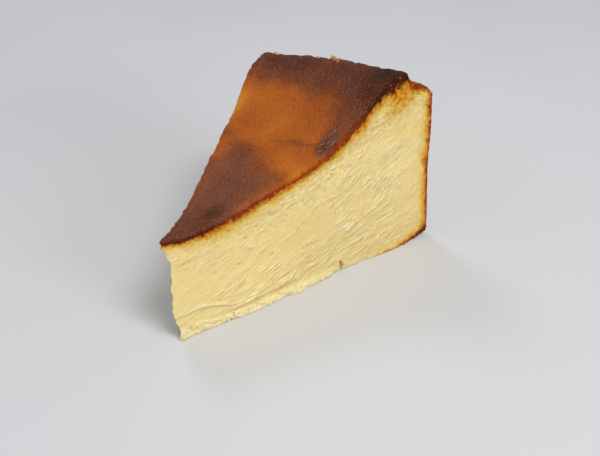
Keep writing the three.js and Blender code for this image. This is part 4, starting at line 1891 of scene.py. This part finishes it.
@dataclass(frozen=True)
class RimFlakes:
    """Golden flakes that stand on the scorched rim."""

    form: SliceForm
    flakes: tuple[Triple, ...] = (
        (81.4, 14.4, 1.0), (82.0, 3.8, 0.9), (82.6, 0.1, 1.4), (82.1, -1.3, 0.9), (82.0, 1.2, 0.5),
    )
    flatness: Triple = (0.55, 1.0, 0.5)
    stand: float = 0.2

    def build(self) -> Piece:
        """Models the flakes.

        Returns:
            The joined mesh object.
        """
        places, sizes = [], []
        for radius, angle, length in self.flakes:
            turn = math.radians(angle)
            across = np.array([turn / self.form.slice_angle + 0.5])
            line = np.array([along_line(radius, self.form.top_points)])
            top = float(self.form.top_height(np.array([radius]), line, across)[0])
            x, y = self.form.tip_x + radius * math.cos(turn), radius * math.sin(turn)
            places.append((x, y, top + self.stand * length))
            sizes.append(length * np.array(self.flatness))
        return Grains("rim_flakes", steps=3, unevenness=0.3).build(places, sizes, Seed.FLAKES)


@dataclass(frozen=True)
class Softbox:
    """A soft square light: its name, place, side, power in watts and linear colour."""

    name: str
    place: Triple
    size: float
    power: float
    colour: Triple
    aim: Triple = (0.0, 0.0, 30.0)

    def build(self) -> None:
        """Hangs the light so that it faces the slice."""
        lamp = bpy.data.lights.new(self.name, "AREA")
        lamp.shape, lamp.size = "SQUARE", self.size * MM
        lamp.energy, lamp.color = self.power, self.colour
        holder = bpy.data.objects.new(self.name, lamp)
        bpy.context.scene.collection.objects.link(holder)
        spot = Vector(self.place) * MM
        turn = (Vector(self.aim) * MM - spot).to_track_quat("-Z", "Y")
        holder.matrix_world = Matrix.Translation(spot) @ turn.to_matrix().to_4x4()


@dataclass(frozen=True)
class Studio:
    """The floor, lights and camera, in millimetres and degrees."""

    floor_size: float = 6000.0
    floor_drop: float = 0.2
    floor_colour: Triple = (0.66, 0.675, 0.715)
    floor_shade: float = 0.96
    softboxes: tuple[Softbox, ...] = (
        Softbox("key_softbox", (-150.0, -700.0, 1100.0), 500.0, 9.0, (1.0, 0.985, 0.96)),
        Softbox("front_softbox", (-90.0, -755.0, 310.0), 280.0, 2.0, (1.0, 0.985, 0.96)),
        Softbox("back_softbox", (300.0, 700.0, 950.0), 350.0, 2.5, (0.97, 0.98, 1.0)),
    )
    glow_colour: Triple = (1.0, 0.98, 0.94)
    glow_strength: float = 0.34
    eye: Triple = (-149.85, -120.32, 136.04)
    azimuth: float = -53.545
    elevation: float = 32.665
    roll: float = 0.79
    lens: float = 42.0
    sensor: float = 36.0
    clip: Span = (10.0, 20000.0)

    def floor(self) -> None:
        """Lays the pale floor."""
        select_none()
        middle = (0.0, 0.0, -self.floor_drop * MM)
        bpy.ops.mesh.primitive_plane_add(size=self.floor_size * MM, location=middle)
        floor = bpy.context.active_object
        floor.name = "floor"
        material, nodes, shader = new_material("pale_floor")
        noise = nodes.add("ShaderNodeTexNoise", Scale=30.0, Detail=2.0)
        dark = tuple(self.floor_shade * part for part in self.floor_colour)
        colour = nodes.blend(nodes.span(noise.outputs["Fac"], 0.3, 0.7), dark, self.floor_colour)
        nodes.set(shader, Base_Color=colour, Roughness=0.8, Specular_IOR_Level=0.2)
        floor.data.materials.append(material)

    def glow(self) -> None:
        """Sets the room's even glow."""
        world = bpy.data.worlds.new("room")
        world.use_nodes = True
        back = next(node for node in world.node_tree.nodes if node.type == "BACKGROUND")
        Nodes(world.node_tree).set(back, Color=self.glow_colour, Strength=self.glow_strength)
        bpy.context.scene.world = world

    def camera(self) -> None:
        """Stands the camera where the slice is seen from the front of its right-hand cut, from above."""
        data = bpy.data.cameras.new("camera")
        data.lens, data.sensor_width, data.sensor_fit = self.lens, self.sensor, "HORIZONTAL"
        data.clip_start, data.clip_end = (MM * end for end in self.clip)
        camera = bpy.data.objects.new("camera", data)
        bpy.context.scene.collection.objects.link(camera)
        azimuth, elevation = math.radians(self.azimuth), math.radians(self.elevation)
        x, y = -math.sin(azimuth) * math.cos(elevation), math.cos(azimuth) * math.cos(elevation)
        ahead = Vector((x, y, -math.sin(elevation)))
        turn = ahead.to_track_quat("-Z", "Y").to_matrix() @ Matrix.Rotation(-math.radians(self.roll), 3, "Z")
        camera.matrix_world = Matrix.Translation(Vector(self.eye) * MM) @ turn.to_4x4()
        bpy.context.scene.camera = camera

    def build(self) -> None:
        """Sets up the whole studio."""
        self.floor()
        for softbox in self.softboxes:
            softbox.build()
        self.glow()
        self.camera()
        bpy.context.scene.view_settings.view_transform = "Standard"


def main() -> None:
    """Builds the slice and its studio, in order."""
    logging.basicConfig(level=logging.INFO, format="%(name)s: %(message)s")
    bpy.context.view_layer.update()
    Studio().build()
    effects = Effects()
    maker = CheesecakeSlice()
    piece = maker.build()
    maker.dress(piece, effects)
    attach(piece, BODY)
    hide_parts(NODE)
    LOG.info("%s has %d faces", piece.name, len(piece.data.polygons))
    crumbs = CurdCrumbs(maker.form).build()
    crumbs.data.materials.append(bpy.data.materials[CurdFinish.name])
    flakes = RimFlakes(maker.form).build()
    flakes.data.materials.append(FlakeFinish().material(effects))
    for extra in (crumbs, flakes):
        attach(extra, BODY)
        LOG.info("%s has %d faces", extra.name, len(extra.data.polygons))


if __name__ == "__main__":
    main()
